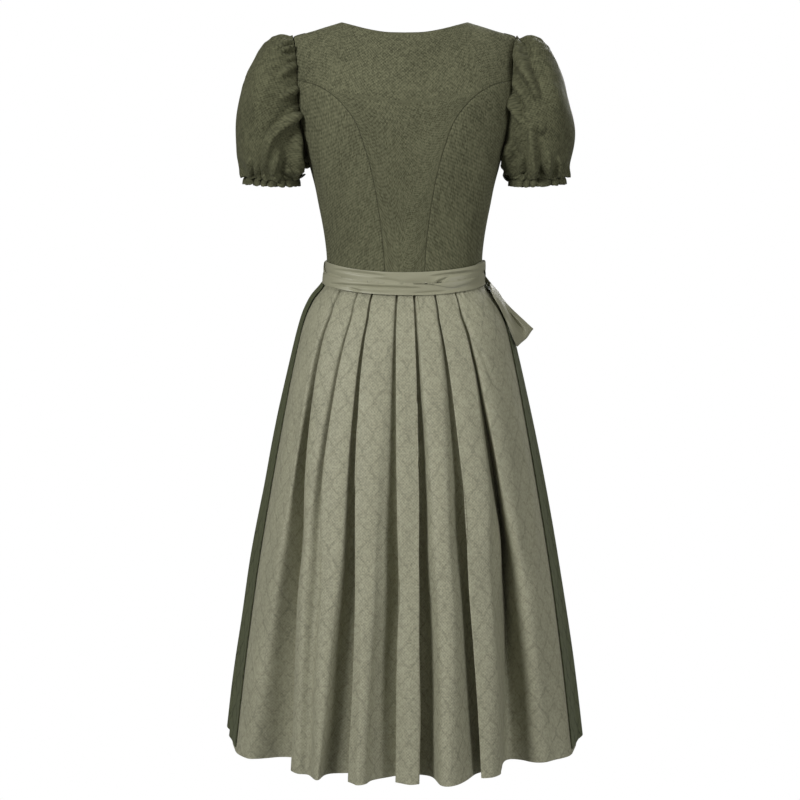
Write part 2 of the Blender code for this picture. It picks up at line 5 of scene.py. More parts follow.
import math
import bpy
import numpy as np
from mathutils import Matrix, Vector


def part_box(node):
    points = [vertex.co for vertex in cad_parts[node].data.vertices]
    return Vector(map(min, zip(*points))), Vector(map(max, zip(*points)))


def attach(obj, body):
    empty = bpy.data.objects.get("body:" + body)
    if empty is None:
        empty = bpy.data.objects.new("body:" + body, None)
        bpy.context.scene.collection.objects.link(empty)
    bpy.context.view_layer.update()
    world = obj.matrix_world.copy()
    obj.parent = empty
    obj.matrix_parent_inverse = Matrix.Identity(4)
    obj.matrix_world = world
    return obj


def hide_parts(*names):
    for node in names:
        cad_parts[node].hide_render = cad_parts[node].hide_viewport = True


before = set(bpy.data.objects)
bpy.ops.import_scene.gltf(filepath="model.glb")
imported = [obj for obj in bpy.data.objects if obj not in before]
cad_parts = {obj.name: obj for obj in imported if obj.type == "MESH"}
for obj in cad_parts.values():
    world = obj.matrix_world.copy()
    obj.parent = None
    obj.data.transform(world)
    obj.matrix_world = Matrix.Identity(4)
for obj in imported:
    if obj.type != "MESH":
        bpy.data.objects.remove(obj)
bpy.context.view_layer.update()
hemDown = -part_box("skirt_back")[0][2]
apronDown = -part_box("apron")[0][2]
print("frame loaded, hem at", round(hemDown, 4))

# the body that every piece is cut on

cut = {
    "wall": 0.0016,            # bodice and sleeve cloth
    "skirtWall": 0.0012,
    "ribbonWall": 0.0009,
    "shoulderTip": 0.180,
    "neckPoint": 0.1025,
    "neckRise": 0.0127,
    "shoulderSlope": 0.307,
    "roundFrom": 0.150,        # down to here the body closes towards the shoulder line
    "squareness": 0.15,
    "waist": 0.392,
    "waistDip": 0.014,         # the waist seam is lower at the centre back
    "seamGap": 0.00025,
}

body = {
    "down": (-.046, 0, .05, .1, .15, .19, .218, .252, .28, .306, .332, .358, .375, .41),
    "half": (.1825, .1825, .1815, .179, .171, .1615, .1545, .1455, .14, .135, .1308, .1278, .127, .127),
    "back": (.078, .084, .094, .102, .106, .107, .106, .103, .099, .096, .093, .091, .0905, .0905),
    "front": (.068, .074, .084, .098, .116, .13, .134, .13, .121, .112, .104, .098, .0955, .095),
}

skirtForm = {
    "fall": (0, .024, .056, .1, .185, .28, .43, .61, .8, 1),
    "half": (.1275, .131, .1508, .1665, .183, .1985, .221, .246, .268, .288),
    "back": (.0908, .0935, .115, .136, .16, .185, .214, .242, .265, .286),
    "front": (.0953, .0985, .117, .135, .156, .178, .203, .23, .253, .272),
    "opened": (.05, .06, .12, .22, .36, .48, .63, .78, .9, 1),    # how far the pleats have opened
}


def smoothRead(places, values, at):
    places, values = np.asarray(places, float), np.asarray(values, float)
    at = np.asarray(at, float)
    last = len(places) - 1
    k = np.clip(np.searchsorted(places, at, side="left") - 1, 0, last - 1)
    index = np.arange(last + 1)
    before, after = np.maximum(index - 1, 0), np.minimum(index + 1, last)
    slopes = (values[after] - values[before]) / (places[after] - places[before])
    span = places[k + 1] - places[k]
    t = np.clip((at - places[k]) / span, 0, 1)
    value = values[k] * (1 + 2 * t) * (1 - t) ** 2 + values[k + 1] * t * t * (3 - 2 * t)
    return value + span * t * (1 - t) * (slopes[k] * (1 - t) - slopes[k + 1] * t)


def easeIn(low, high, at):
    t = np.clip((np.asarray(at, float) - low) / (high - low), 0, 1)
    return t * t * (3 - 2 * t)


def sectionPoint(half, depth, angle):
    side, back = np.sin(angle), np.cos(angle)
    return (half * side * (1 + cut["squareness"] * back * back),
            -depth * back * (1 + cut["squareness"] * side * side))


def depthAt(table, key, angle, at):
    # the back's depth on one half, the front's on the other
    return np.where(np.cos(angle) > 0, smoothRead(table[key], table["back"], at),
                    smoothRead(table[key], table["front"], at))


def bodySurface(angle, down):
    x, y = sectionPoint(smoothRead(body["down"], body["half"], down),
                        depthAt(body, "down", angle, down), angle)
    shoulder = (np.abs(x) - cut["neckPoint"]) * cut["shoulderSlope"] - cut["neckRise"]
    rise = np.clip((cut["roundFrom"] - down) / (cut["roundFrom"] - shoulder), 0, 1)
    y = y * np.sqrt(1 - rise * rise)
    return np.stack(np.broadcast_arrays(x, y, -down), axis=-1)


def waistAt(angle):
    return cut["waist"] + cut["waistDip"] * np.maximum(0, np.cos(angle)) ** 2


def skirtSurface(angle, fall, takenIn=0.0):
    x, y = sectionPoint(smoothRead(skirtForm["fall"], skirtForm["half"], fall),
                        depthAt(skirtForm, "fall", angle, fall), angle)
    inward = 1 - takenIn / np.hypot(x, y)
    top = waistAt(angle)
    return np.stack(np.broadcast_arrays(x * inward, y * inward,
                                        -top - (hemDown - top) * fall), axis=-1)


def openedAt(fall):
    return smoothRead(skirtForm["fall"], skirtForm["opened"], fall)


def waistSurface(angle, down):
    top = waistAt(angle)
    above = bodySurface(angle, np.minimum(down, top))
    below = skirtSurface(angle, np.maximum(0, (down - top) / (hemDown - top)))
    return np.where((down <= top)[..., None], above, below)


def movedOut(surface, angle, down, distance):
    angle, down = np.broadcast_arrays(np.asarray(angle, float), np.asarray(down, float))
    across = surface(angle + .004, down) - surface(angle - .004, down)
    along = surface(angle, down + .0004) - surface(angle, down)
    normal = np.cross(along, across)
    normal /= np.linalg.norm(normal, axis=-1, keepdims=True)
    return surface(angle, down) + normal * np.asarray(distance, float)[..., None]


def gridNormals(grid, closed=False):
    along = np.gradient(grid, axis=0)
    if closed:
        across = (np.roll(grid, -1, axis=1) - np.roll(grid, 1, axis=1)) / 2
    else:
        across = np.gradient(grid, axis=1)
    normal = np.cross(along, across)
    return normal / np.maximum(np.linalg.norm(normal, axis=-1, keepdims=True), 1e-12)


def clothLengths(grid, closed=False):
    # distances along the cloth: across each row, and down each column
    wrapped = np.concatenate([grid, grid[:, :1]], axis=1) if closed else grid
    across = np.linalg.norm(np.diff(wrapped, axis=1), axis=-1)
    across = np.concatenate([np.zeros((len(grid), 1)), np.cumsum(across, axis=1)], axis=1)
    down = np.linalg.norm(np.diff(wrapped, axis=0), axis=-1)
    down = np.concatenate([np.zeros((1, wrapped.shape[1])), np.cumsum(down, axis=0)], axis=0)
    return across, down


def newObject(name, data):
    made = bpy.data.objects.new(name, data)
    bpy.context.scene.collection.objects.link(made)
    return made


def clothPiece(name, outside, wall, finish, closed=False, lengths=None, edge=None, sharp=60,
               keep=None, normals=None, trim=0.0):
    # a closed cloth wall on a grid of points; keep leaves faces out, trim draws its border in
    rows, columns = outside.shape[:2]
    count = rows * columns
    if normals is None:
        normals = gridNormals(outside, closed)
    i, j = np.meshgrid(np.arange(rows - 1), np.arange(columns if closed else columns - 1),
                       indexing="ij")
    k = (j + 1) % columns
    faces = np.stack([i * columns + j, (i + 1) * columns + j, (i + 1) * columns + k,
                      i * columns + k], -1)
    across, down = lengths if lengths is not None else clothLengths(outside, closed)
    if across.ndim == 2:
        left, right = across[:, :-1], across[:, 1:]
    else:
        left, right = across[..., 0], across[..., 1]
    downRight, down = down[:, 1:left.shape[1] + 1], down[:, :left.shape[1]]
    maps = np.stack([np.stack([left[:-1], down[:-1]], -1), np.stack([left[1:], down[1:]], -1),
                     np.stack([right[1:], downRight[1:]], -1),
                     np.stack([right[:-1], downRight[:-1]], -1)], axis=2)
    if keep is not None:
        faces, maps = faces[keep], maps[keep]
    faces, maps = faces.reshape(-1, 4), maps.reshape(-1, 4, 2)
    start, end = faces.ravel(), np.roll(faces, -1, axis=1).ravel()
    startMap, endMap = maps.reshape(-1, 2), np.roll(maps, -1, axis=1).reshape(-1, 2)
    border = ~np.isin(start * count + end, end * count + start)
    start, end, startMap, endMap = start[border], end[border], startMap[border], endMap[border]
    points, normals = outside.reshape(-1, 3).copy(), normals.reshape(-1, 3)
    if trim:
        along = np.zeros_like(points)
        np.add.at(along, start, points[end] - points[start])
        np.add.at(along, end, points[end] - points[start])
        inward = np.cross(normals, along)
        points += trim * inward / np.maximum(np.linalg.norm(inward, axis=-1, keepdims=True), 1e-9)
    points = np.concatenate([points, points - normals * wall])
    rims = np.stack([end, start, start + count, end + count], -1)
    rimMaps = np.stack([endMap, startMap, startMap, endMap], 1)
    faces = np.concatenate([faces, faces[:, ::-1] + count, rims])
    maps = np.concatenate([maps, maps[:, ::-1], rimMaps])
    used, faces = np.unique(faces.ravel(), return_inverse=True)
    mesh = bpy.data.meshes.new(name)
    mesh.from_pydata(points[used].tolist(), [], faces.reshape(-1, 4).tolist())
    layer = mesh.uv_layers.new(name="cloth")
    layer.data.foreach_set("uv", maps.astype(np.float32).ravel())
    # each point's distance from its sewn edges, where the finishes paint shade
    values = np.full(2 * count, 1.0) if edge is None else np.tile(edge.ravel(), 2)
    mark = mesh.attributes.new("seamDistance", "FLOAT", "POINT")
    mark.data.foreach_set("value", values[used].astype(np.float32))
    mesh.shade_smooth()
    mesh.set_sharp_from_angle(angle=math.radians(sharp))
    mesh.materials.append(finish)
    piece = newObject(name, mesh)
    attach(piece, "root")
    return piece


def standsFor(piece, node):
    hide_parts(node)
    return piece


def mirroredGrid(grid):
    return grid[:, ::-1] * np.array([-1.0, 1.0, 1.0])


def smoothPath(points, parts):
    # a smooth line through the points, with this many steps between each two
    points = np.asarray(points, float)
    index = np.arange(len(points))
    at = np.linspace(0, len(points) - 1, (len(points) - 1) * parts + 1)
    return np.stack([smoothRead(index, points[:, c], at) for c in range(points.shape[1])], -1)


def distanceTo(grid, line):
    # how far each point of the grid is from a line of points
    flat = grid.reshape(-1, 3)
    best = np.full(len(flat), 1e9)
    for start, step in zip(line[:-1], np.diff(line, axis=0)):
        t = np.clip(((flat - start) @ step) / max((step ** 2).sum(), 1e-16), 0, 1)
        best = np.minimum(best, np.linalg.norm(flat - start - t[:, None] * step, axis=-1))
    return best.reshape(grid.shape[:2])


# finishes, made by nodes on the cloth's own widths and lengths

def newFinish(name, colour, rough, settings=()):
    finish = bpy.data.materials.new(name)
    finish.use_nodes = True
    shader = finish.node_tree.nodes["Principled BSDF"]
    values = {"Roughness": rough, "Base Color": (*colour, 1), **dict(settings)}
    for socket, value in values.items():
        shader.inputs[socket].default_value = value
    return finish, finish.node_tree, shader


def addNode(tree, kind, inputs=(), **settings):
    node = tree.nodes.new("ShaderNode" + kind)
    for key, value in settings.items():
        setattr(node, key, value)
    for key, value in dict(inputs).items():
        if isinstance(value, bpy.types.NodeSocket):
            tree.links.new(value, node.inputs[key])
        else:
            node.inputs[key].default_value = value
    return node


def mathNode(tree, operation, first, second=0.0, third=0.0):
    return addNode(tree, "Math", {0: first, 1: second, 2: third}, operation=operation).outputs[0]


def times(tree, first, second):
    return mathNode(tree, "MULTIPLY", first, second)


def swung(tree, value, strength, base):
    # the base made larger or smaller by a value that lies round a half
    return mathNode(tree, "MULTIPLY_ADD", mathNode(tree, "SUBTRACT", value, .5), strength, base)


def sineOf(tree, distance, step):
    return mathNode(tree, "SINE", times(tree, distance, 2 * math.pi / step))


def ramp(tree, value, low, high, toLow, toHigh):
    return addNode(tree, "MapRange", {"Value": value, "From Min": low, "From Max": high,
                                      "To Min": toLow, "To Max": toHigh}).outputs[0]


def noise(tree, place, scale, detail=2.0):
    return addNode(tree, "TexNoise", {"Vector": place, "Scale": scale, "Detail": detail},
                   noise_dimensions="2D").outputs["Fac"]


def threads(tree, place, wide, tall):
    # one value for each stitch of the weave, each row shifted against the last
    parts = addNode(tree, "SeparateXYZ", {0: place})
    row = mathNode(tree, "FLOOR", mathNode(tree, "DIVIDE", parts.outputs[1], tall))
    column = mathNode(tree, "ADD", mathNode(tree, "DIVIDE", parts.outputs[0], wide), times(tree, row, .37))
    cell = addNode(tree, "CombineXYZ", {0: mathNode(tree, "FLOOR", column), 1: row})
    return addNode(tree, "TexWhiteNoise", {"Vector": cell.outputs[0]},
                   noise_dimensions="2D").outputs["Value"]


def birdseye(tree, across, down, step):
    # small regular eyes of the weave, 0 to 1
    eyes = times(tree, sineOf(tree, across, step), sineOf(tree, down, step))
    return mathNode(tree, "MULTIPLY_ADD", eyes, .5, .5)


def clothPlace(tree):
    place = addNode(tree, "UVMap", uv_map="cloth").outputs[0]
    parts = addNode(tree, "SeparateXYZ", {0: place})
    return place, parts.outputs[0], parts.outputs[1]


def seamLine(tree, width):
    # 1 on a sewn edge, falling to 0 within its width; the finishes paint shade there, as in the seam's groove
    gap = addNode(tree, "Attribute", attribute_name="seamDistance", attribute_type="GEOMETRY")
    return ramp(tree, gap.outputs["Fac"], 0.0, width, 1.0, 0.0)


def shade(tree, shader, colour, tone):
    # the colour made lighter or darker by a value round 1
    base = addNode(tree, "CombineColor", dict(enumerate(colour)))
    shaded = addNode(tree, "VectorMath", {0: base.outputs[0], "Scale": tone}, operation="SCALE")
    tree.links.new(shaded.outputs[0], shader.inputs["Base Color"])


def raiseCloth(tree, shader, height, strength, distance):
    bump = addNode(tree, "Bump", {"Height": height, "Strength": strength, "Distance": distance})
    tree.links.new(bump.outputs[0], shader.inputs["Normal"])


wovenBodice = {
    # the sleeve's colour is the bodice cloth's made darker: painted shade on the sleeves, which are of the
    # same cloth
    "colour": {"bodice": (.112, .113, .069), "sleeve": (.086, .087, .051)},
    "rough": {"bodice": .82, "sleeve": .60},
    "gleam": {"bodice": .25, "sleeve": .34},
    "gleamTint": (.62, .64, .38, 1),
    "sheen": {"bodice": .10, "sleeve": .12},
    "sheenTint": (.55, .56, .42, 1),
    "fleck": (.0025, .0029),    # width and height of one stitch
    "fleckTone": .64,
    "eye": .0053,
    "eyeTone": .50,
    "cloudScale": 16,
    "cloudTone": .44,
    "darkest": .22,
    "seam": .0009,
    # painted shade: how much the colour darkens along seams and stitched lines
    "seamShadeTone": -.5,
    "twill": .0042,             # from one raised slanting line to the next
    "columnWidth": .0100,       # where the slant turns back
    "bump": .35,
}


def makeBodiceCloth(part):
    facts = wovenBodice
    colour = facts["colour"][part]
    finish, tree, shader = newFinish(part + "Herringbone", colour, facts["rough"][part], {
        "Sheen Weight": facts["sheen"][part], "Sheen Roughness": .5, "Sheen Tint": facts["sheenTint"],
        "Specular IOR Level": facts["gleam"][part], "Specular Tint": facts["gleamTint"]})
    place, across, down = clothPlace(tree)
    fleck = threads(tree, place, *facts["fleck"])
    seam = seamLine(tree, facts["seam"])
    tone = swung(tree, fleck, facts["fleckTone"], 1.0)
    tone = swung(tree, birdseye(tree, across, down, facts["eye"]), facts["eyeTone"], tone)
    tone = swung(tree, noise(tree, place, facts["cloudScale"], 3.0), facts["cloudTone"], tone)
    tone = mathNode(tree, "MAXIMUM", tone, facts["darkest"])
    # painted shade: the colour darkened along seams, stitched lines, the armhole and the cuff's elastic
    tone = times(tree, tone, mathNode(tree, "MULTIPLY_ADD", seam, facts["seamShadeTone"], 1.0))
    shade(tree, shader, colour, tone)
    # raised slanting lines, whose slant turns back from column to column
    column = mathNode(tree, "PINGPONG", across, facts["columnWidth"])
    turnBack = mathNode(tree, "GREATER_THAN", column, facts["columnWidth"] / 2)
    slants = [mathNode(tree, "MULTIPLY_ADD", sineOf(tree, mathNode(tree, lean, down, across), facts["twill"]),
                       .5, .5) for lean in ("ADD", "SUBTRACT")]
    twill = addNode(tree, "Mix", {"Factor": turnBack, 2: slants[0], 3: slants[1]}, data_type="FLOAT")
    height = times(tree, mathNode(tree, "ADD", twill.outputs[0], fleck), .6)
    height = mathNode(tree, "SUBTRACT", height, times(tree, seam, 1.2))
    raiseCloth(tree, shader, height, facts["bump"], .0012)
    return finish


def ogee(tree, across, down, width, height, thick):
    # 1 on the lines of an ogee net drawn in the weave
    swing = times(tree, mathNode(tree, "COSINE", times(tree, down, 2 * math.pi / height)), width / 4)
    lines = []
    for sign, shift in ((1, 0.0), (-1, width / 2)):
        moved = mathNode(tree, "MULTIPLY_ADD", swing, -sign, across)
        # many whole widths keep the distance above 0
        moved = mathNode(tree, "ADD", moved, shift + 40 * width)
        lines.append(mathNode(tree, "PINGPONG", moved, width / 2))
    return ramp(tree, mathNode(tree, "MINIMUM", *lines), thick * .4, thick, 1.0, 0.0)


jacquards = {
    "skirt": {"colour": (.312, .307, .219), "rough": .62,
              "grain": (.0023, .0025), "grainTone": .32, "eye": .0048, "eyeTone": .20,
              "net": (.033, .052, .0034), "lineTone": -.15,    # width, height and line of the net
              "sheen": .10, "sheenTint": (.8, .8, .66, 1), "bump": .20},
    "apron": {"colour": (.088, .098, .052), "rough": .60,
              "grain": (.0021, .0023), "grainTone": .2, "eye": .0046, "eyeTone": .25,
              "net": (.033, .052, .0028), "lineTone": -.42,
              "sheen": .08, "sheenTint": (.4, .45, .3, 1), "bump": .25},
}


def makeJacquard(name, facts):
    finish, tree, shader = newFinish(name, facts["colour"], facts["rough"], {
        "Sheen Weight": facts["sheen"], "Sheen Roughness": .45, "Sheen Tint": facts["sheenTint"],
        "Specular IOR Level": .3})
    place, across, down = clothPlace(tree)
    # the net wavers a little and its lines are broken here and there
    bent = swung(tree, noise(tree, place, 34), .003, across)
    broken = ramp(tree, noise(tree, place, 90, 1.0), .30, .60, .45, 1.0)
    net = times(tree, ogee(tree, bent, down, *facts["net"]), broken)
    grain = threads(tree, place, *facts["grain"])
    tone = swung(tree, grain, facts["grainTone"], 1.0)
    tone = swung(tree, birdseye(tree, across, down, facts["eye"]), facts["eyeTone"], tone)
    tone = swung(tree, noise(tree, place, 12, 3.0), .14, tone)
    tone = mathNode(tree, "MULTIPLY_ADD", net, facts["lineTone"], tone)
    # painted shade: the colour darkened along the waist seam and the apron's stitched hem lines
    tone = times(tree, tone, mathNode(tree, "MULTIPLY_ADD", seamLine(tree, .001), -.4, 1.0))
    shade(tree, shader, facts["colour"], tone)
    dull = mathNode(tree, "MULTIPLY_ADD", net, .14, facts["rough"])
    tree.links.new(dull, shader.inputs["Roughness"])
    height = mathNode(tree, "MULTIPLY_ADD", grain, .6, times(tree, net, -.7))
    raiseCloth(tree, shader, height, facts["bump"], .0008)
    return finish


satin = {
    "colour": (.295, .290, .200),
    "rough": .46,
    "streak": (40, 1500, 1),    # how fine its threads are along and across
    "tones": {"streak": .16, "cloud": .12, "fine": .10},
    "bump": .12,
}


def makeSatin():
    finish, tree, shader = newFinish("ribbonSatin", satin["colour"], satin["rough"], {
        "Anisotropic": .4, "Sheen Weight": .08, "Specular IOR Level": .45})
    place = clothPlace(tree)[0]
    drawn = addNode(tree, "Mapping", {"Vector": place, "Scale": satin["streak"]}, vector_type="POINT")
    streak = noise(tree, drawn.outputs[0], 1.0)
    tone = swung(tree, streak, satin["tones"]["streak"], 1.0)
    tone = swung(tree, noise(tree, place, 22), satin["tones"]["cloud"], tone)
    tone = swung(tree, noise(tree, place, 700, 1.0), satin["tones"]["fine"], tone)
    shade(tree, shader, satin["colour"], tone)
    raiseCloth(tree, shader, streak, satin["bump"], .0004)
    return finish


horn = {"colour": (.16, .135, .085), "rough": .34,
        "dark": (.07, .055, .032, 1), "light": (.27, .235, .155, 1)}


def makeHorn():
    finish, tree, shader = newFinish("buttonHorn", horn["colour"], horn["rough"])
    place = addNode(tree, "TexCoord").outputs["Object"]
    cloud = addNode(tree, "TexNoise", {"Vector": place, "Scale": 160, "Detail": 4.0, "Distortion": 1.2})
    mix = addNode(tree, "Mix", {"Factor": cloud.outputs["Fac"], 6: horn["dark"], 7: horn["light"]},
                  data_type="RGBA")
    tree.links.new(mix.outputs[2], shader.inputs["Base Color"])
    raiseCloth(tree, shader, cloud.outputs["Fac"], .08, .0004)
    return finish


bodiceCloth = makeBodiceCloth("bodice")
sleeveCloth = makeBodiceCloth("sleeve")
skirtCloth = makeJacquard("sageJacquard", jacquards["skirt"])
apronCloth = makeJacquard("darkJacquard", jacquards["apron"])
ribbonCloth = makeSatin()
buttonFinish = makeHorn()
print("finishes made")

# bodice

bodicePlan = {
    # places on the body as distances out from the centre and down; each list runs downwards
    "armBackTop": ((.180, .0111), (.1762, .034), (.1738, .058), (.1726, .0815)),
    "armBackLow": ((.1726, .0815), (.1703, .118), (.1657, .156), (.160, .192), None),
    "armFrontTop": ((.180, .0111), (.170, .036), (.163, .066), (.159, .098)),
    "armFrontLow": ((.159, .098), (.157, .132), (.156, .164), (.1555, .194), None),
    "underarm": .212,
    "backSeam": ((.1726, .0815), (.1480, .0882), (.1245, .0998), (.1060, .1140), (.0900, .1318),
                 (.0765, .1520), (.0665, .1790), (.0560, .2130), (.0460, .2580), (.0385, .3080),
                 (.0340, .3500), (.0315, .4000)),
    "frontSeam": ((.159, .098), (.140, .106), (.123, .120), (.109, .140), (.098, .166), (.090, .198),
                  (.084, .234), (.077, .280), (.070, .325), (.066, .352), (.064, .372), (.062, .392)),
    "backNeck": ((0, .0075), (.030, .0062), (.058, .0010), (.084, -.0065), (.1025, -.0127)),
    "frontNeck": ((0, .138), (.034, .134), (.062, .117), (.080, .086), (.0925, .038), (.1025, -.0127)),
    "steps": 9,              # between two places down a panel
    "divide": .118,          # down the centre back, where the wide upper block ends
    "rollWidth": .0024,      # how far the cloth rolls in at a sewn edge
    "rollDepth": .0006,
    "calmWidth": .03,        # from a seam to where the cloth waves in full
}


def angleAt(out, half, front):
    # the angle whose point on the section lies this far out
    low, high = 0.0, math.pi / 2
    for step in range(40):
        middle = (low + high) / 2
        if sectionPoint(half, 1.0, middle)[0] < out:
            low = middle
        else:
            high = middle
    return math.pi - low if front else low


def bodicePath(places, front, parts):
    line = []
    for place in places:
        if place is None:
            line.append((math.pi / 2, bodicePlan["underarm"]))
        else:
            out, down = place
            half = float(smoothRead(body["down"], body["half"], down))
            line.append((angleAt(out, half, front), down))
    return smoothPath(line, parts)


def waistRun(start, end, count):
    angles = np.linspace(start, end, count)
    return np.stack([angles, waistAt(angles)], -1)


def seamPath(front, parts):
    line = bodicePath(bodicePlan["frontSeam" if front else "backSeam"], front, parts)
    line[-1, 1] = waistAt(line[-1, 0])
    return line


def shoulderPath(front, parts):
    outs = np.linspace(cut["neckPoint"], cut["shoulderTip"], 4)
    places = [(o, (o - cut["neckPoint"]) * cut["shoulderSlope"] - cut["neckRise"]) for o in outs]
    return bodicePath(places, front, parts)


def fillPanel(left, right, top, bottom):
    v = np.linspace(0, 1, len(left))[:, None, None]
    u = np.linspace(0, 1, len(top))[None, :, None]
    across = left[:, None] * (1 - u) + right[:, None] * u
    along = top[None] * (1 - v) + bottom[None] * v
    corners = (top[0] * (1 - u) + top[-1] * u) * (1 - v) + (bottom[0] * (1 - u) + bottom[-1] * u) * v
    return across + along - corners


def backPanel():
    # half of the back in two blocks, and which faces of their common grid are cloth
    n = bodicePlan["steps"]
    seam = seamPath(False, n)
    shelf, below = seam[:2 * n + 1], seam[2 * n:]
    arm = bodicePath(bodicePlan["armBackTop"], False, n)
    neck = bodicePath(bodicePlan["backNeck"], False, n + 3)
    top = np.concatenate([neck, shoulderPath(False, 2 * n // 3)[1:]])
    part = np.linspace(0, 1, len(neck))[:, None]
    divide = np.array([[0.0, bodicePlan["divide"]]]) * (1 - part) + below[0] * part
    centre = np.stack([np.zeros(len(arm)), np.linspace(top[0, 1], divide[0, 1], len(arm))], -1)
    upper = fillPanel(centre, arm, top, np.concatenate([divide, shelf[::-1][1:]]))
    centre = np.stack([np.zeros(len(below)),
                       np.linspace(divide[0, 1], float(waistAt(0.0)), len(below))], -1)
    lower = fillPanel(centre, below, divide, waistRun(0.0, seam[-1, 0], len(divide)))
    unused = np.repeat(lower[:, -1:], len(shelf) - 1, axis=1)
    half = np.concatenate([upper, np.concatenate([lower, unused], axis=1)[1:]])
    keep = np.ones((half.shape[0] - 1, half.shape[1] - 1), bool)
    keep[len(arm) - 1:, len(divide) - 1:] = False
    border = np.concatenate([top, arm, shelf, below, half[-1, len(divide) - 1::-1]])
    return half, keep, border


def frontPanel():
    n = bodicePlan["steps"]
    seam = seamPath(True, n)
    outer = np.concatenate([bodicePath(bodicePlan["armFrontTop"], True, n)[:-1], seam])
    top = shoulderPath(True, 2 * n)
    neck = bodicePath(bodicePlan["frontNeck"][::-1], True, n)
    below = len(outer) - len(neck)
    downs = np.linspace(neck[-1, 1], float(waistAt(math.pi)), below + 1)[1:]
    centre = np.concatenate([neck, np.stack([np.full(below, math.pi), downs], -1)])
    return fillPanel(centre, outer, top, waistRun(math.pi, seam[-1, 0], len(top)))


def sidePanel(front):
    n = bodicePlan["steps"]
    seam = seamPath(front, n)
    arm = bodicePath(bodicePlan["armFrontLow" if front else "armBackLow"], front, 2 * n)
    downs = np.linspace(bodicePlan["underarm"], float(waistAt(math.pi / 2)), len(seam))
    side = np.stack([np.full(len(seam), math.pi / 2), downs], -1)
    return fillPanel(seam, side, arm, waistRun(seam[-1, 0], math.pi / 2, len(arm)))


def bodyNormal(angle, down):
    return movedOut(bodySurface, angle, down, np.ones(np.shape(angle))) - bodySurface(angle, down)


def sewnPanel(places, border=None):
    # the panel's cloth on the body, rolled in along its edges
    angle, down = places[..., 0], places[..., 1]
    surface, normal = bodySurface(angle, down), bodyNormal(angle, down)
    if border is None:
        border = np.concatenate([places[0], places[:, -1], places[-1, ::-1], places[::-1, 0]])
    gap = distanceTo(surface, bodySurface(border[:, 0], border[:, 1]))
    roll = np.clip(1 - gap / bodicePlan["rollWidth"], 0, 1) ** 2
    # slow waves of the cloth, away from the seams
    wave = .0005 * np.sin(down * 46 + np.sin(angle * 5) * 2) + .0006 * np.sin(angle * 9 + down * 23)
    shift = wave * np.clip(gap / bodicePlan["calmWidth"], 0, 1) - roll * bodicePlan["rollDepth"]
    return surface + normal * shift[..., None], normal, gap


def buildBodice():
    half, keep, border = backPanel()
    grid, normal, gap = sewnPanel(half, border)
    whole = [np.concatenate([mirroredGrid(part)[:, :-1], part], axis=1) for part in (grid, normal)]
    trim = cut["seamGap"] / 2
    pieces = {"back_centre": clothPiece(
        "backCentre", whole[0], cut["wall"], bodiceCloth, normals=whole[1], trim=trim,
        keep=np.concatenate([keep[:, ::-1], keep], axis=1),
        edge=np.concatenate([gap[:, :0:-1], gap], axis=1))}
    for name, label, places in (("back_side", "backSide", sidePanel(False)),
                                ("front_side", "frontSide", sidePanel(True)[:, ::-1]),
                                ("front_centre", "frontCentre", frontPanel()[:, ::-1])):
        grid, normal, gap = sewnPanel(places)
        pieces[name + "_right"] = clothPiece(label + "Right", grid, cut["wall"], bodiceCloth,
                                             normals=normal, trim=trim, edge=gap)
        pieces[name + "_left"] = clothPiece(label + "Left", mirroredGrid(grid), cut["wall"], bodiceCloth,
                                            normals=mirroredGrid(normal), trim=trim, edge=gap[:, ::-1])
    return pieces


bodicePieces = buildBodice()
for node, piece in bodicePieces.items():
    standsFor(piece, node)
print("bodice sewn")

# creases laid one by one


def lineField(across, down, line):
    # distance, share along and side of each point from a line drawn on the cloth
    best = np.full(across.shape, 1e9)
    share, side = np.zeros(across.shape), np.ones(across.shape)
    line = smoothPath(line, 6) if len(line) > 2 else np.asarray(line, float)
    for n in range(len(line) - 1):
        sx, sy = line[n + 1] - line[n]
        long = max(sx * sx + sy * sy, 1e-14)
        t = np.clip(((across - line[n, 0]) * sx + (down - line[n, 1]) * sy) / long, 0, 1)
        dx, dy = across - line[n, 0] - t * sx, down - line[n, 1] - t * sy
        gap = np.hypot(dx, dy)
        closer = gap < best
        best = np.where(closer, gap, best)
        share = np.where(closer, (n + t) / (len(line) - 1), share)
        side = np.where(closer, np.sign(sx * dy - sy * dx), side)
    return best, share, side


def creaseDepth(across, down, creases):
    total = np.zeros(across.shape)
    for line, depth, width, *more in creases:
        rollLeft, rollRight, openEnd = (more + [0, 0, None])[:3]
        gap, share, side = lineField(across, down, line)
        # a crease dies out at both ends, or at the end that isn't open
        if openEnd == "start":
            fade = np.cos(np.pi / 2 * np.clip(share, 0, 1)) ** .7
        elif openEnd == "end":
            fade = np.sin(np.pi / 2 * np.clip(share, 0, 1)) ** .7
        else:
            fade = np.sin(np.pi * np.clip(share, 0, 1)) ** .55
        wide = width * (.45 + .55 * fade)
        total -= depth * np.exp(-(gap / wide) ** 2) * fade
        roll = np.exp(-((gap - 2.1 * wide) / (1.3 * wide)) ** 2) * fade
        total += roll * (rollRight * (side > 0) + rollLeft * (side < 0))
    return total


# the front closing

closing = {
    "half": .085,            # half its width, as an angle at the centre front
    "clear": .0028,
    "top": .138,
    "bottom": .3638,
    "wall": .0013,
    "halfWidth": .0085,
    "stitchLine": .22,       # the row of stitches, as a share of the half width in from the edge
    "pressed": .0006,        # how far a button presses the strip in
    "buttons": 6,
    # half of a button's section: distance from its middle, height
    "button": ((0, .0006), (.0022, .0006), (.0040, .0010), (.0050, .0016), (.0058, .0015),
               (.0064, .0007), (.0065, 0), (.0062, -.0008), (.0050, -.0014), (0, -.0014)),
    "buttonSteps": 44,
    "holeOut": .0017,
    "holeSize": .00085,
    "holeDepth": .0013,
}


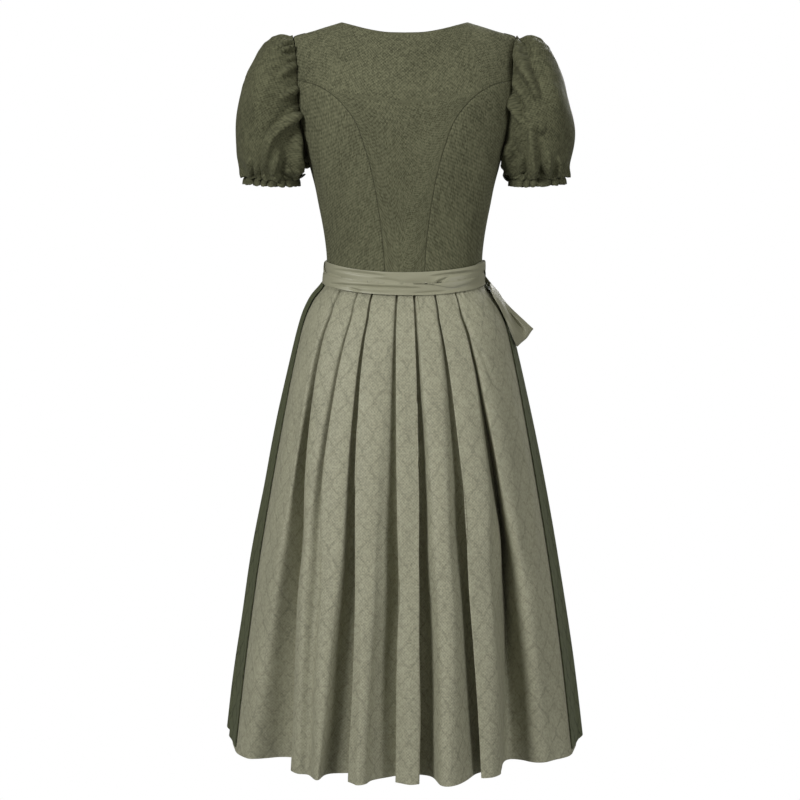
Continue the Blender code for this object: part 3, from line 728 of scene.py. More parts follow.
def buildStrip():
    turn = np.linspace(-1, 1, 31)[None, :]
    down = np.linspace(closing["top"], closing["bottom"], 150)[:, None]
    edge = 1 - np.abs(turn)
    stitches = edge - closing["stitchLine"]
    lift = closing["clear"] - .0007 * np.exp(-(edge / .09) ** 2) - .0004 * np.exp(-(stitches / .05) ** 2)
    lift = lift + .0003 * np.sin(down * 170 + 2 * turn)
    for n in range(closing["buttons"]):
        low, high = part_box("button_%d" % (n + 1))
        away = np.hypot(turn * closing["halfWidth"], down + (low[2] + high[2]) / 2)
        lift = lift - closing["pressed"] * np.exp(-(away / .006) ** 2)
    grid = movedOut(bodySurface, math.pi + closing["half"] * turn + 0 * down, down + 0 * turn, lift)
    # distance from the stitched line, where the finish paints shade
    gap = np.abs(stitches * closing["halfWidth"]) + 0 * down
    return clothPiece("buttonStrip", grid, closing["wall"], bodiceCloth, edge=gap)


def buildButton(number):
    low, high = [np.array(corner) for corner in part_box("button_%d" % number)]
    middle = (low + high) / 2
    # it faces square out of the cloth
    down = -middle[2]
    facing = movedOut(bodySurface, math.pi, down, .01) - bodySurface(np.array(math.pi), np.array(down))
    turn = Vector(facing.ravel()).normalized().to_track_quat("Z", "Y")
    profile = smoothPath(closing["button"], 4)
    count = closing["buttonSteps"]
    holeTurns = [math.pi / 4 + n * math.pi / 2 for n in range(4)]
    holes = [(closing["holeOut"] * math.cos(t), closing["holeOut"] * math.sin(t)) for t in holeTurns]
    points, faces = [], []
    for out, height in profile:
        for k in range(count):
            x, y = out * math.cos(2 * math.pi * k / count), out * math.sin(2 * math.pi * k / count)
            z = height
            for holeX, holeY in holes:
                near = math.hypot(x - holeX, y - holeY) / closing["holeSize"]
                if height > 0 and near < 1:
                    z -= closing["holeDepth"] * (1 - near ** 4)
            points.append(turn @ Vector((x, y, z)) + Vector(middle))
    for i in range(len(profile) - 1):
        for k in range(count):
            n = (k + 1) % count
            faces.append(((i + 1) * count + k, (i + 1) * count + n, i * count + n, i * count + k))
    mesh = bpy.data.meshes.new("button%d" % number)
    mesh.from_pydata(points, [], faces)
    mesh.materials.append(buttonFinish)
    mesh.shade_smooth()
    piece = newObject("button%d" % number, mesh)
    merge = piece.modifiers.new("merge", "WELD")
    merge.merge_threshold = .00002
    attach(piece, "root")
    return standsFor(piece, "button_%d" % number)


strip = standsFor(buildStrip(), "button_strip")
buttons = [buildButton(n + 1) for n in range(closing["buttons"])]
print("front closed with", len(buttons), "buttons")

# puff sleeves

sleevePlan = {
    # sections fanned round a point under the arm, turned from straight up
    "pivot": (.156, .238),
    "turn": (12, 19, 30, 43, 56, 69, 79, 87),
    "inner": (.0290, .0275, .0260, .0240, .0215, .0185, .0160, .0140),
    "outer": (.2325, .2230, .1950, .1620, .1415, .1250, .1130, .1040),
    "wide": (.0560, .0660, .0730, .0755, .0740, .0690, .0600, .0500),
    "tilt": .16,
    "stepsRound": 18,        # between two places round the armhole
    "rows": 96,
    "gather": .0012,         # height of the gathers in the head
    "puff": .0068,           # height of the puffs above the elastic
    "pulledIn": .0042,
    "lobes": 17,             # puffs round the drawn-in end
    "creaseDepth": {"left": 1.9, "right": 2.3},
    "deepest": {"left": .018, "right": .011},    # no crease goes deeper
    "frontShare": .85,       # creases of the front against those of the back
    "crumple": .0019,
    "round": .44,            # width of the cloth gathered round the arm
}
sleeveSeeds = {"right": 0.0, "left": 1.9}
otherSide = {"right": "left", "left": "right"}

# on the back of each sleeve, each crease is its line (distance out from the centre, distance down), its
# depth and width, the height of the roll on its left and on its right, and its open end if it has one
sleeveCreases = {
    "left": (
        (((.179, .03), (.1895, .0333), (.201, .0368)), .0046, .0028, .0014, .0012, "start"),
        (((.1775, .0205), (.187, .0214), (.195, .0235)), .0026, .0022, 0, 0, "start"),
        (((.1765, .045), (.186, .049), (.194, .0545)), .0022, .0028, 0, 0, "start"),
        (((.176, .059), (.19, .069), (.203, .078)), .0034, .0052, 0, .0014, "start"),
        (((.1726, .096), (.1851, .105), (.2, .115)), .0036, .005, 0, .0012, "start"),
        (((.168, .124), (.178, .1285), (.189, .133)), .0034, .0034, 0, .0012, "start"),
        (((.167, .134), (.1886, .152), (.208, .1707), (.2179, .1906), (.2247, .226)),
         .0058, .0062, .0024, .0016, "start"),
        (((.164, .152), (.173, .178), (.178, .206), (.18, .226)), .0095, .0075, .003, 0, "end"),
        (((.199, .196), (.205, .211), (.209, .227)), .0045, .0038, 0, 0, "end"),
        (((.244, .204), (.2465, .215), (.245, .227)), .004, .004, 0, 0, "end"),
        (((.233, .21), (.235, .219), (.235, .227)), .003, .003, 0, 0, "end"),
        (((.188, .208), (.19, .218), (.19, .227)), .004, .0034, 0, 0, "end"),
        (((.218, .1), (.233, .122), (.242, .148)), .0016, .011),
    ),
    "right": (
        (((.179, .026), (.185, .048), (.193, .07), (.2034, .0931), (.2125, .118)),
         .0088, .0068, .0036, .0038, "start"),
        (((.18, .019), (.189, .0255), (.1975, .033)), .0026, .0026, 0, 0, "start"),
        (((.174, .08), (.18, .098), (.185, .116)), .0024, .004),
        (((.17, .108), (.176, .125), (.1805, .14), (.187, .153)), .0062, .0046, .0024, 0, "start"),
        (((.211, .148), (.216, .159), (.217, .169)), .003, .006),
        (((.2, .156), (.2035, .182), (.205, .204), (.2062, .228)), .0078, .005, .003, .0014, "end"),
        (((.159, .166), (.165, .19), (.17, .212), (.171, .227)), .0095, .007, .0026, 0, "end"),
        (((.188, .196), (.188, .212), (.187, .227)), .0042, .0036, 0, 0, "end"),
        (((.228, .195), (.229, .211), (.228, .227)), .0042, .0042, 0, 0, "end"),
        (((.244, .202), (.245, .215), (.243, .227)), .0034, .0034, 0, 0, "end"),
        (((.223, .086), (.236, .108), (.244, .134)), .0016, .012),
    ),
}


def armholeRing(parts):
    back = bodicePath(bodicePlan["armBackTop"] + bodicePlan["armBackLow"][1:], False, parts)
    front = bodicePath(bodicePlan["armFrontTop"] + bodicePlan["armFrontLow"][1:], True, parts)
    ring = np.concatenate([back, front[::-1][1:-1]])
    return movedOut(bodySurface, ring[:, 0], ring[:, 1], np.full(len(ring), .0009))


def sleeveSection(level, around):
    # an oval ring, flatter where it hangs level
    plan = sleevePlan
    beta = math.radians(plan["turn"][level])
    inner, outer = plan["inner"][level], plan["outer"][level]
    out = (inner + outer) / 2 + (outer - inner) / 2 * np.cos(around)
    y = -plan["wide"][level] * np.sin(around)
    z = -plan["pivot"][1] + out * math.cos(beta)
    z = z - plan["tilt"] * np.abs(y) * max(0.0, math.sin(beta) - .7)
    return np.stack([plan["pivot"][0] + out * math.sin(beta), y, z], -1)


def lobeWave(around, seed):
    # rounded puffs outwards with sharp valleys between them, uneven in width
    phase = sleevePlan["lobes"] * around / 2 + .9 * np.sin(3 * around + seed)
    phase = phase + .5 * np.sin(7 * around + 2 * seed)
    # much lower on the side that lies against the bodice
    return (np.abs(np.sin(phase)) ** .75 - .62) * (1 - .8 * easeIn(.45, .95, -np.cos(around)))


def buildSleeve(side):
    plan = sleevePlan
    start = armholeRing(plan["stepsRound"])
    count = len(start)
    around = 2 * np.pi * np.arange(count) / count
    rings = np.stack([start] + [sleeveSection(level, around) for level in range(len(plan["turn"]))])
    levels = np.linspace(0, len(rings) - 1, plan["rows"])
    grid = np.stack([smoothRead(np.arange(len(rings)), column, levels)
                     for column in rings.reshape(len(rings), -1).T], -1).reshape(-1, count, 3)
    normal = gridNormals(grid, closed=True)
    run = clothLengths(grid, closed=True)[1]
    seed = sleeveSeeds[side]
    level = levels[:, None]
    turn = ((around + math.pi) % (2 * math.pi) - math.pi)[None, :]
    # gathers eased into the head of the sleeve
    gather = np.sin(27 * turn + 1.3 * np.sin(5 * turn + seed) + seed) + .6 * np.sin(41 * turn + 2 * seed)
    rise = easeIn(0, .45, level) * (1 - easeIn(.7, 2.6 + .5 * np.sin(9 * turn), level))
    shift = plan["gather"] * gather * np.exp(-(turn / 1.05) ** 2) * rise
    # puffs drawn in above the elastic
    shift = shift + plan["puff"] * easeIn(5.6, 8, level) ** 1.5 * lobeWave(around, seed)[None, :]
    shift = shift - plan["pulledIn"] * easeIn(7.1, 8, level)
    # the creases of the back; the front has those of the other sleeve, a little apart
    out, down = np.abs(grid[..., 0]), -grid[..., 2]
    back = 1 - easeIn(-.004, .012, grid[..., 1])
    creases = creaseDepth(out, down, sleeveCreases[side])
    front = creaseDepth(out + .004, down - .006, sleeveCreases[otherSide[side]])
    creases = creases * back + plan["frontShare"] * front * (1 - back)
    shift = shift + plan["creaseDepth"][side] * creases
    # small crumples below the head seam
    crumple = np.sin(8.5 * turn + 2.3 * level + 1.6 * np.sin(3.1 * level + 2 * turn + seed))
    crumple = (np.abs(crumple) ** .6 - .66) * np.exp(-((level - 1.9) / 1.3) ** 2)
    shift = shift + plan["crumple"] * crumple
    # slow unevenness of the cloth
    shift = shift + .0010 * np.sin(3 * around + 2.1 * level + seed)
    shift = shift + .0007 * np.sin(5 * around - 1.7 * level + 2 * seed)
    shift = np.maximum(shift, -plan["deepest"][side])
    # all of it starts at the armhole's seam, and more slowly under the arm
    shift = shift * easeIn(0, .25 + 1.6 * easeIn(.13, .17, down), level)
    shift = shift - .0007 * np.exp(-(run[:, :count] / .0028) ** 2)
    grid = grid + normal * shift[..., None]
    # distance from the armhole seam and the sleeve's end, where the finish paints shade
    edge = np.minimum(run[:, :count], run[-1:, :count] - run[:, :count])
    # the weave runs square to the cuff
    lengths = [np.broadcast_to(np.linspace(0, plan["round"], count + 1), run.shape), run - run[-1:]]
    if side == "left":
        grid, edge = mirroredGrid(grid), edge[:, ::-1]
        lengths = [part[:, ::-1] for part in lengths]
    piece = clothPiece("sleeve" + side.capitalize(), grid, cut["wall"], sleeveCloth, closed=True,
                       lengths=lengths, edge=edge, sharp=75)
    return standsFor(piece, "sleeve_" + side)


# the sleeve's own cloth below the elastic; sizes and puffs are read down its depth
cuffPlan = {
    "depth": .0150,
    "tucked": .0050,         # how far it starts inside the sleeve
    "scallop": .0056,
    "rows": 28,
    "columns": 336,
    "size": ((0, .22, .34, .6, 1), (.93, .935, .945, .975, .985)),
    "puff": ((0, .2, .32, .7, 1), (.0020, .0032, .0040, .0078, .0090)),
    "elastic": .42,
}


def buildCuff(side):
    plan = cuffPlan
    seed = sleeveSeeds[side]
    around = 2 * np.pi * np.arange(plan["columns"]) / plan["columns"]
    last = sleeveSection(len(sleevePlan["turn"]) - 1, around)
    centre = last.mean(axis=0)
    part = np.linspace(0, 1, plan["rows"])[:, None]
    outwards = (last - centre) / np.linalg.norm(last - centre, axis=-1, keepdims=True)
    wave = lobeWave(around, seed)[None, :]
    swing = smoothRead(*plan["puff"], part) * wave + .0008 * np.sin(5 * around + seed) * part
    grid = centre + (last - centre) * smoothRead(*plan["size"], part)[..., None] + outwards * swing[..., None]
    drop = (plan["depth"] + plan["tucked"]) * part - plan["tucked"]
    grid[..., 2] -= drop - plan["scallop"] * (.38 - wave) * easeIn(.25, 1, part)
    # distance from the elastic, where the finish paints shade in the pinch
    edge = np.abs(part - plan["elastic"]) * plan["depth"] + 0 * around
    if side == "left":
        grid = mirroredGrid(grid)
    piece = clothPiece("cuff" + side.capitalize(), grid, cut["wall"], sleeveCloth, closed=True,
                       edge=edge, sharp=80)
    return standsFor(piece, "cuff_" + side)


for build in (buildSleeve, buildCuff):
    build("right")
    build("left")
print("sleeves set in")

# skirt

skirtPlan = {
    "levels": (.10, .38, .56, 1.0),
    # folds from the left side seam to the right one: angles in degrees and depths in millimetres
    # at the four levels, the radius of the bend in millimetres (0 is a soft one), whether it is the
    # bottom of a valley, and whether the depth runs straight to the front instead of to the axis
    "folds": (
        ((-90, -90, -90, -90), (0, 0, 0, 0), 0, 0),
        ((-80, -80, -80, -80), (0, 0, 0, 0), 0, 0),
        ((-68, -68, -68, -68), (0, 0, 0, 0), 0, 0),
        ((-60, -60, -60, -61), (0, 1, 2, 9), 0, 0),
        ((-54, -54, -53, -59.5), (0, 1, 2, 24), 0, 0),
        ((-50.5, -50, -50.5, -58.5), (0, 1.5, 5, 40), 0, 0),
        ((-49.5, -51, -50.5, -57), (3, 14, 22, 66), 0, 0),
        ((-50, -52.5, -51, -50), (8, 34, 46, 86), 6, 1),
        ((-48.5, -46.5, -45.5, -42), (5, 18, 30, 56), 0, 0),
        ((-47.6, -44, -41, -40.3), (.5, 5, 10, 33), 8, 0),
        ((-44, -42, -38, -37), (0, 1, 2, 25), 0, 0),
        ((-38, -38.6, -36.2, -35.5), (0, 0, 1.5, 22), 0, 0),
        ((-32.6, -36, -35, -34), (0, .5, 3, 21), 0, 0),
        ((-32, -35, -33, -31.5), (5, 16, 15, 26), 5, 1),
        ((-30.5, -31.4, -29.4, -29), (3, 8, 8, 17), 5, 0),
        ((-31.2, -33, -29.8, -27.5), (0, 0, 1, 10.5), 3, 0),
        ((-27, -27, -26, -25.5), (0, -.5, 0, 3.5), 0, 0),
        ((-21.6, -21.5, -21.4, -24.2), (0, .5, 2.5, 8), 0, 0, 1),
        ((-21.1, -20.6, -20, -23), (2.5, 10, 18, 34), 0, 0, 1),
        ((-20.7, -19.9, -18.6, -20.6), (5, 20, 36, 48), 6, 0, 1),
        ((-18.6, -16.5, -13.6, -12.5), (7, 26, 44, 58), 5, 1, 1),
        ((-18.4, -16, -13.4, -12.5), (4, 12, 16, 32), 5, 0, 1),
        ((-20.4, -19.1, -16.4, -16), (0, 0, 0, 11), 2.5, 0, 1),
        ((-19, -17, -14.5, -13.8), (0, -1, -1, 0), 0, 0),
        ((-13, -13, -12.5, -12.6), (0, -1, -2, -8), 0, 0),
        ((-9.5, -9.8, -9.8, -10.6), (0, 0, -1, 1), 8, 0),
        ((-6.2, -8.2, -8.4, -9.6), (.5, 3, 6, 20), 0, 0, 1),
        ((-5.2, -5.4, -5.6, -7), (2.5, 10, 17, 32), 0, 0, 1),
        ((-4.7, -3.9, -3.8, -4.8), (5, 20, 34, 38), 6, 0, 1),
        ((-3, -1.6, -1, -1.2), (7, 26, 42, 50), 5, 1, 1),
        ((-2.8, -1.2, -.8, -1), (4, 11, 14, 28), 5, 0, 1),
        ((-4.4, -3.1, -2.4, -3.2), (0, 0, 0, 15), 2.5, 0, 1),
        ((-3.2, -2, -1.2, -1.6), (0, -.5, -.5, 9), 0, 0),
        ((.8, .8, 1, 1.2), (0, -.5, -1, -1), 0, 0),
        ((3.5, 3.6, 3.4, 3), (0, 0, 0, 2.5), 0, 0),
        ((5.3, 5.5, 4.9, 4.1), (0, 0, 0, 6), 2.5, 0, 1),
        ((3.8, 3.4, 2.8, 2), (4, 12, 15, 26), 5, 0, 1),
        ((4, 3.6, 3, 2.2), (7, 28, 44, 56), 5, 1, 1),
        ((5.7, 6.2, 6.2, 6), (6, 24, 38, 50), 6, 0, 1),
        ((6.2, 7.3, 7.6, 7.8), (2, 13, 22, 38), 0, 0, 1),
        ((6.8, 8.4, 9, 8.8), (0, 4, 8, 12), 0, 0, 1),
        ((8, 9.8, 10.4, 9.4), (0, .5, 1, -7), 0, 0),
        ((12, 12.5, 12.5, 11.2), (0, -.5, -2, -14), 0, 0),
        ((15.5, 15, 15, 14), (0, 0, -1, -6), 10, 0),
        ((17.6, 16.4, 16.4, 16.2), (.5, 3, 6, 9), 0, 0, 1),
        ((18.4, 18.1, 17.9, 18.4), (2.5, 11, 18, 32), 0, 0, 1),
        ((18.9, 19.8, 19.6, 20.2), (5, 21, 36, 46), 6, 0, 1),
        ((21, 23.6, 23.8, 25.8), (7, 28, 44, 58), 5, 1, 1),
        ((21.2, 24, 24, 26), (4, 12, 15, 36), 5, 0, 1),
        ((19, 21, 20.7, 21), (0, 0, 0, 22), 2.5, 0, 1),
        ((21, 23, 22.7, 24.0), (0, -.5, -.5, 17), 0, 0),
        ((26, 27, 26.5, 27.5), (0, -1, -1, 16), 0, 0),
        ((31.5, 32.3, 30.3, 31.5), (0, 0, 0, 27), 6, 0),
        ((33.5, 34, 31.5, 33.5), (.3, 1.5, 6, 42), 6, 0),
        ((34.2, 36, 41.7, 41), (3, 10, 30, 74), 0, 0),
        ((36.5, 47.3, 54.5, 48.5), (8, 34, 60, 86), 6, 1),
        ((35.6, 41.6, 48.3, 51.8), (4, 14, 36, 66), 0, 0),
        ((35.8, 38.8, 44.3, 51.5), (.3, 3, 13, 42), 8, 0),
        ((40, 42, 46, 54), (0, .5, 3, 27), 0, 0),
        ((48, 48, 51, 58.5), (0, 0, 1.5, 19), 0, 0),
        ((56, 56, 58, 61.5), (0, 0, 1, 9), 0, 0),
        ((66, 66, 66, 66), (0, 0, 0, 0), 0, 0),
        ((78, 78, 78, 78), (0, 0, 0, 0), 0, 0),
        ((90, 90, 90, 90), (0, 0, 0, 0), 0, 0),
    ),
    "softRadius": 17,        # of a soft bend, in millimetres
    "rounderHem": 1.3,       # how much rounder the bends get down to the hem
    # falls and shares: how far the folds draw together, and how deep they are, near the waist
    "nearWaist": ((.0, .03, .07, .12, .2, 1), (1.0, 1.0, .93, .965, 1.0, 1.0)),
    "depthNearWaist": ((0, .03, .1, .2, .38, 1), (.9, 1.35, 1.5, 1.3, 1.1, 1.0)),
    "rows": 76,
    "columnLength": .0034,
    # small gathers under the ribbon: angle, width and strength of each group
    "gathers": ((13, 4.5, 1), (50, 9, 1), (-54, 9, .7), (-27, 4, .45), (-12, 4, .35), (27, 4, .4)),
    "gatherHeight": .0009,
    # one soft fold that starts at the waist and dies out: its angles down the skirt
    "softFold": ((0, .1, .14, .18, .22, 1), (40, 41, 44.4, 46.4, 48, 49)),
    "softFoldDepth": .0022,
    "frontRows": 60,
    "frontPleats": 8,
    "frontPleatDepth": .014,
}


def skirtFalls(rows):
    # closer rows near the waist, from just below its seam
    share = np.linspace(0, 1, rows)
    gap = cut["seamGap"] / 2 / (hemDown - cut["waist"])
    return gap + (1 - gap) * (.42 * share + .58 * share ** 1.7)


def pleatedBack():
    plan = skirtPlan
    falls = skirtFalls(plan["rows"])
    levels, folds = plan["levels"], plan["folds"]
    squeeze = smoothRead(*plan["nearWaist"], falls)
    shallow = smoothRead(*plan["depthNearWaist"], falls)
    corners = []
    for angles, depths, radius, valley, *straight in folds:
        angle = np.radians(smoothRead(levels, angles, falls))
        if abs(angles[0]) < 90:
            angle = angle * (1 + (squeeze - 1) * min(1, abs(angles[0]) / 18))
        depth = smoothRead(levels, depths, falls) * shallow / 1000
        if straight:
            corners.append(skirtSurface(angle, falls) + depth[:, None] * (0, 1, 0))
        else:
            corners.append(skirtSurface(angle, falls, depth))
    corners = np.stack(corners, 1)
    legs = np.maximum(np.linalg.norm(np.diff(corners, axis=1), axis=-1), 1e-6)
    last = len(folds) - 1
    half = np.linspace(0, 1, 13)

    def bendShare(corner, leg):
        # how much of this leg the bend at the corner takes up
        if corner in (0, last):
            return np.zeros((len(falls), 1))
        crisp = folds[corner][2] * (1 + plan["rounderHem"] * falls ** 2)
        radius = crisp if folds[corner][2] else plan["softRadius"]
        return np.minimum(.5, radius / 1000 / legs[:, leg])[:, None]

    def bend(first, middle, end, t):
        return first * (1 - t) ** 2 + middle * 2 * t * (1 - t) + end * t * t

    grid, splits, column = [], [], 0
    for k in range(last):
        a, b = corners[:, k], corners[:, k + 1]
        start = a + (b - a) * bendShare(k, k)
        end = b - (b - a) * bendShare(k + 1, k)
        path = [a]
        if k:
            before = a + (corners[:, k - 1] - a) * bendShare(k, k - 1)
            path = [bend(before, a, start, .5 + .5 * t) for t in half]
        path += [start + (end - start) * t for t in half[1:-1]]
        if k < last - 1:
            after = b + (corners[:, k + 2] - b) * bendShare(k + 1, k + 1)
            path += [bend(end, b, after, .5 * t) for t in half]
        else:
            path += [b]
        path = np.stack(path, 1)
        run = np.linalg.norm(np.diff(path, axis=1, prepend=path[:, :1]), axis=-1).cumsum(axis=1)
        steps = int(np.clip(np.ceil(run[:, -1].max() / plan["columnLength"]), 4, 14))
        at = np.linspace(0, 1, steps + 1)
        # columns crowd towards a crisp bend
        if 0 < folds[k][2] < 8:
            at = at ** 1.35
        if 0 < folds[k + 1][2] < 8:
            at = 1 - (1 - at) ** 1.35
        rows = np.array([[np.interp(at * run[i, -1], run[i], path[i, :, c]) for c in range(3)]
                         for i in range(len(falls))]).transpose(0, 2, 1)
        grid.append(rows if k == 0 else rows[:, 1:])
        column += steps
        if folds[k + 1][3]:
            splits.append(column)
    return np.concatenate(grid, axis=1), falls, splits


def ridgeLengths(grid, falls, splits):
    # the pattern runs straight down each ridge, and parts in the bottom of each valley
    across, down = clothLengths(grid)
    bounds = [0] + splits + [grid.shape[1] - 1]
    pair = np.zeros((grid.shape[0], grid.shape[1] - 1, 2))
    for n in range(len(bounds) - 1):
        low, high = bounds[n], bounds[n + 1]
        middle = (low + high) // 2
        shifted = across - across[:, middle:middle + 1] + across[len(across) // 2, middle]
        pair[:, low:high, 0] = shifted[:, low:high]
        pair[:, low:high, 1] = shifted[:, low + 1:high + 1]
    fallen = np.broadcast_to((falls * (hemDown - cut["waist"]))[:, None], grid.shape[:2])
    return pair, fallen


def buildSkirtBack():
    plan = skirtPlan
    grid, falls, splits = pleatedBack()
    normal = gridNormals(grid)
    angle = np.arctan2(grid[..., 0], -grid[..., 1])
    degree = np.degrees(angle)
    fall = falls[:, None]
    gathered = sum(much * np.exp(-((degree - at) / wide) ** 2) for at, wide, much in plan["gathers"])
    gathered = gathered * (1 - easeIn(.03, .10, fall)) * easeIn(0, .012, fall)
    ripple = np.sin(degree * 1.9 + 1.2 * np.sin(degree * .43)) + .5 * np.sin(degree * 3.3 + 1)
    shift = plan["gatherHeight"] * gathered * ripple
    soft = np.exp(-((degree - smoothRead(*plan["softFold"], fall)) / 1.3) ** 2)
    shift = shift - plan["softFoldDepth"] * soft * (1 - easeIn(.14, .27, fall)) * easeIn(0, .04, fall)
    # the slow wave of cloth that hangs
    wave = np.sin(angle * 23 + fall * 7 + 1.5 * np.sin(fall * 11))
    shift = shift + .0011 * wave * easeIn(.05, .3, fall)
    shift = shift + .0009 * np.sin(angle * 11 - fall * 16 + 2) * easeIn(.1, .35, fall)
    # it lies flat under the apron's edges
    grid = grid + normal * (shift * (1 - easeIn(57, 67, np.abs(degree))))[..., None]
    # edge: distance below the waist seam, where the finish paints shade
    return clothPiece("skirtBack", grid, cut["skirtWall"], skirtCloth, sharp=70,
                      lengths=ridgeLengths(grid, falls, splits), edge=fall * hemDown + 0 * degree)


def buildSkirtFront():
    pleats = skirtPlan["frontPleats"]
    angle = np.linspace(math.pi / 2, 3 * math.pi / 2, 30 * pleats + 1)[None, :]
    fall = skirtFalls(skirtPlan["frontRows"])[:, None]
    degree = np.degrees(angle)
    turn = 2 * np.pi * pleats * (degree - 180) / 170
    turn = turn + .55 * np.sin(turn + .7)           # knife pleats lean to one side
    inside = easeIn(90, 98, degree) * (1 - easeIn(262, 270, degree))
    depth = skirtPlan["frontPleatDepth"] * (.5 - .5 * np.cos(turn)) * openedAt(fall) * inside
    depth = depth + .0008 * np.sin(angle * 19 + fall * 9) * inside * easeIn(.05, .2, fall)
    grid = skirtSurface(angle + 0 * fall, fall + 0 * angle, depth)
    return clothPiece("skirtFront", grid, cut["skirtWall"], skirtCloth, sharp=70)


skirtBack = standsFor(buildSkirtBack(), "skirt_back")
skirtFront = standsFor(buildSkirtFront(), "skirt_front")
print("skirt pleated:", len(skirtBack.data.polygons), "faces")

# apron

apronPlan = {
    "edge": {"left": (80.0, 70.0), "right": (79.0, 67.5)},    # angles at the waist and at the hem
    "clear": .0022,
    "columns": 300,
    "rows": 80,
    "folds": 17,             # soft folds that hang from the gathers
    "foldDepth": .0085,
    "gathers": 58,
    "gatherDepth": .0013,
    "hem": .008,             # narrow hem down the side edges
    "cloth": 1.15,           # width of the cloth that is gathered
}
sash = {"middle": .3908, "dip": cut["waistDip"] + .0008, "half": .01875}


def sashLevel(angle):
    return sash["middle"] + sash["dip"] * np.maximum(0, np.cos(angle)) ** 2


def buildApron():
    plan = apronPlan
    share = np.linspace(0, 1, plan["rows"])
    share = (.45 * share + .55 * share ** 1.6)[:, None]
    turn = np.linspace(0, 1, plan["columns"] + 1)[None, :]
    right, left = (np.radians(high + (low - high) * share ** .5)
                   for high, low in (plan["edge"]["right"], plan["edge"]["left"]))
    angle = right + (2 * math.pi - left - right) * turn
    # it hangs from under the ribbon
    top = waistAt(angle)
    start = (sashLevel(angle) + sash["half"] + .0018 - top) / (hemDown - top)
    end = (apronDown - top) / (hemDown - top)
    fall = start + (end - start) * share
    wander = .9 * np.sin(turn * 19 + 1) + .5 * np.sin(turn * 41 + share * 2.5)
    wave = np.sin(2 * np.pi * plan["folds"] * turn + wander + .8 * share * np.sin(turn * 13))
    fold = plan["foldDepth"] * openedAt(fall) * (.5 + .5 * np.sign(wave) * np.abs(wave) ** .8)
    wave = np.sin(2 * np.pi * plan["gathers"] * turn + 1.4 * np.sin(turn * 31))
    fold = fold + plan["gatherDepth"] * (.5 + .5 * wave) * (1 - easeIn(.02, .17, fall))
    fold = fold + .0006 * np.sin(angle * 37 + fall * 19) * easeIn(.1, .3, fall)
    # its side edges lie flat on the skirt
    fromEdge = np.minimum(turn, 1 - turn) * (2 * math.pi - left - right) * .25
    out = .0010 + (plan["clear"] + .0010) * easeIn(.012, .06, fromEdge) + fold * easeIn(.03, .08, fromEdge)
    out = out + .0014 * (1 - easeIn(.04, .14, fall))
    # the narrow hem lies double, with its stitched line pressed in
    fromHem = fromEdge - plan["hem"]
    out = out + .0005 * (1 - easeIn(-.001, .001, fromHem)) - .0004 * np.exp(-(fromHem / .0012) ** 2)
    base = skirtSurface(angle, fall)
    grid = base + gridNormals(base) * out[..., None]
    # distance from the stitched lines of the hems, where the finish paints shade
    gap = np.minimum(np.abs(fromHem), np.abs((1 - share) * (hemDown - .4) - .03))
    # a straight width of cloth gathered in, so its threads run together at the waist
    lengths = (np.broadcast_to(turn * plan["cloth"], grid.shape[:2]), clothLengths(grid)[1])
    return clothPiece("apronSkirt", grid, cut["skirtWall"], apronCloth, lengths=lengths,
                      edge=gap + 0 * angle, sharp=70)


apron = standsFor(buildApron(), "apron")
print("apron gathered")

# waistband and ties

ribbonPlan = {
    "depth": .0385,
    "layer": .0027,          # from one layer of ribbon to the next
    "rows": 26,
    "step": .55,             # degrees between two columns
    "crown": .0008,          # the middle stands out from the edges
    "wrinkle": .00038,
}

# angles round the waist, with the upper and the lower edge there as shares of the ribbon's half depth,
# and the layer of ribbon that it lies in
band = {"angle": (88, 180, 272), "top": (.97, .97, .97), "bottom": (-.97, -.97, -.97), "layer": (1, 1, 1)}
tieLeft = {
    "angle": (-85, -40, -5, 5, 14, 22, 30, 38, 52, 66, 76, 90, 104, 129),
    "top": (1, 1, 1, 1, 1, 1, 1, 1, 1, 1, 1, 1, 1, .9),
    "bottom": (-1, -1, -.3, .02, -.02, -.22, -.46, -.42, -.22, .12, .32, -.2, -.9, -.9),
    "layer": (1, 1, 1, 1.1, 1.6, 2, 2, 2, 2, 2, 2, 2, 2, 2),
}
tieRight = {
    "angle": (-229, -185, -112, -92, -74, -52, -38, -18, -4, 5, 14, 22, 40, 60, 85),
    "top": (.9, 1, 1, .8, .16, .10, .13, .02, -.02, -.02, -.06, -.12, .4, 1, 1),
    "bottom": (-.9, -1, -1, -1, -1, -1, -1, -1, -1, -1, -1, -1, -1, -1, -1),
    "layer": (2, 2, 2, 2, 2, 2, 2, 2, 1.9, 1.5, 1.1, 1, 1, 1, 1),
}

# creases of the ribbon across the back, with their lines from distances out to the wearer's right
sashCreases = (
    (((-.115, .3835), (-.0745, .388), (-.03, .3925)), .0019, .0024, .001, 0),
    (((-.12, .406), (-.0697, .4089), (-.02, .4106), (.026, .4118)), .0026, .0022, .0012, 0),
    (((-.091, .4105), (-.08, .414), (-.069, .4171)), .0022, .002, .0006, 0),
    (((.04, .3932), (.08, .3895), (.1203, .385)), .0025, .0023, .0012, 0),
    (((.043, .4074), (.057, .401), (.0724, .393)), .0022, .0022, .0011, 0),
    (((.012, .4198), (.04, .4186), (.0661, .4168)), .0018, .0019),
    (((-.05, .3965), (-.025, .399), (-.005, .402)), .0014, .0026),
)


def layerOut(layer):
    return layer * ribbonPlan["layer"]


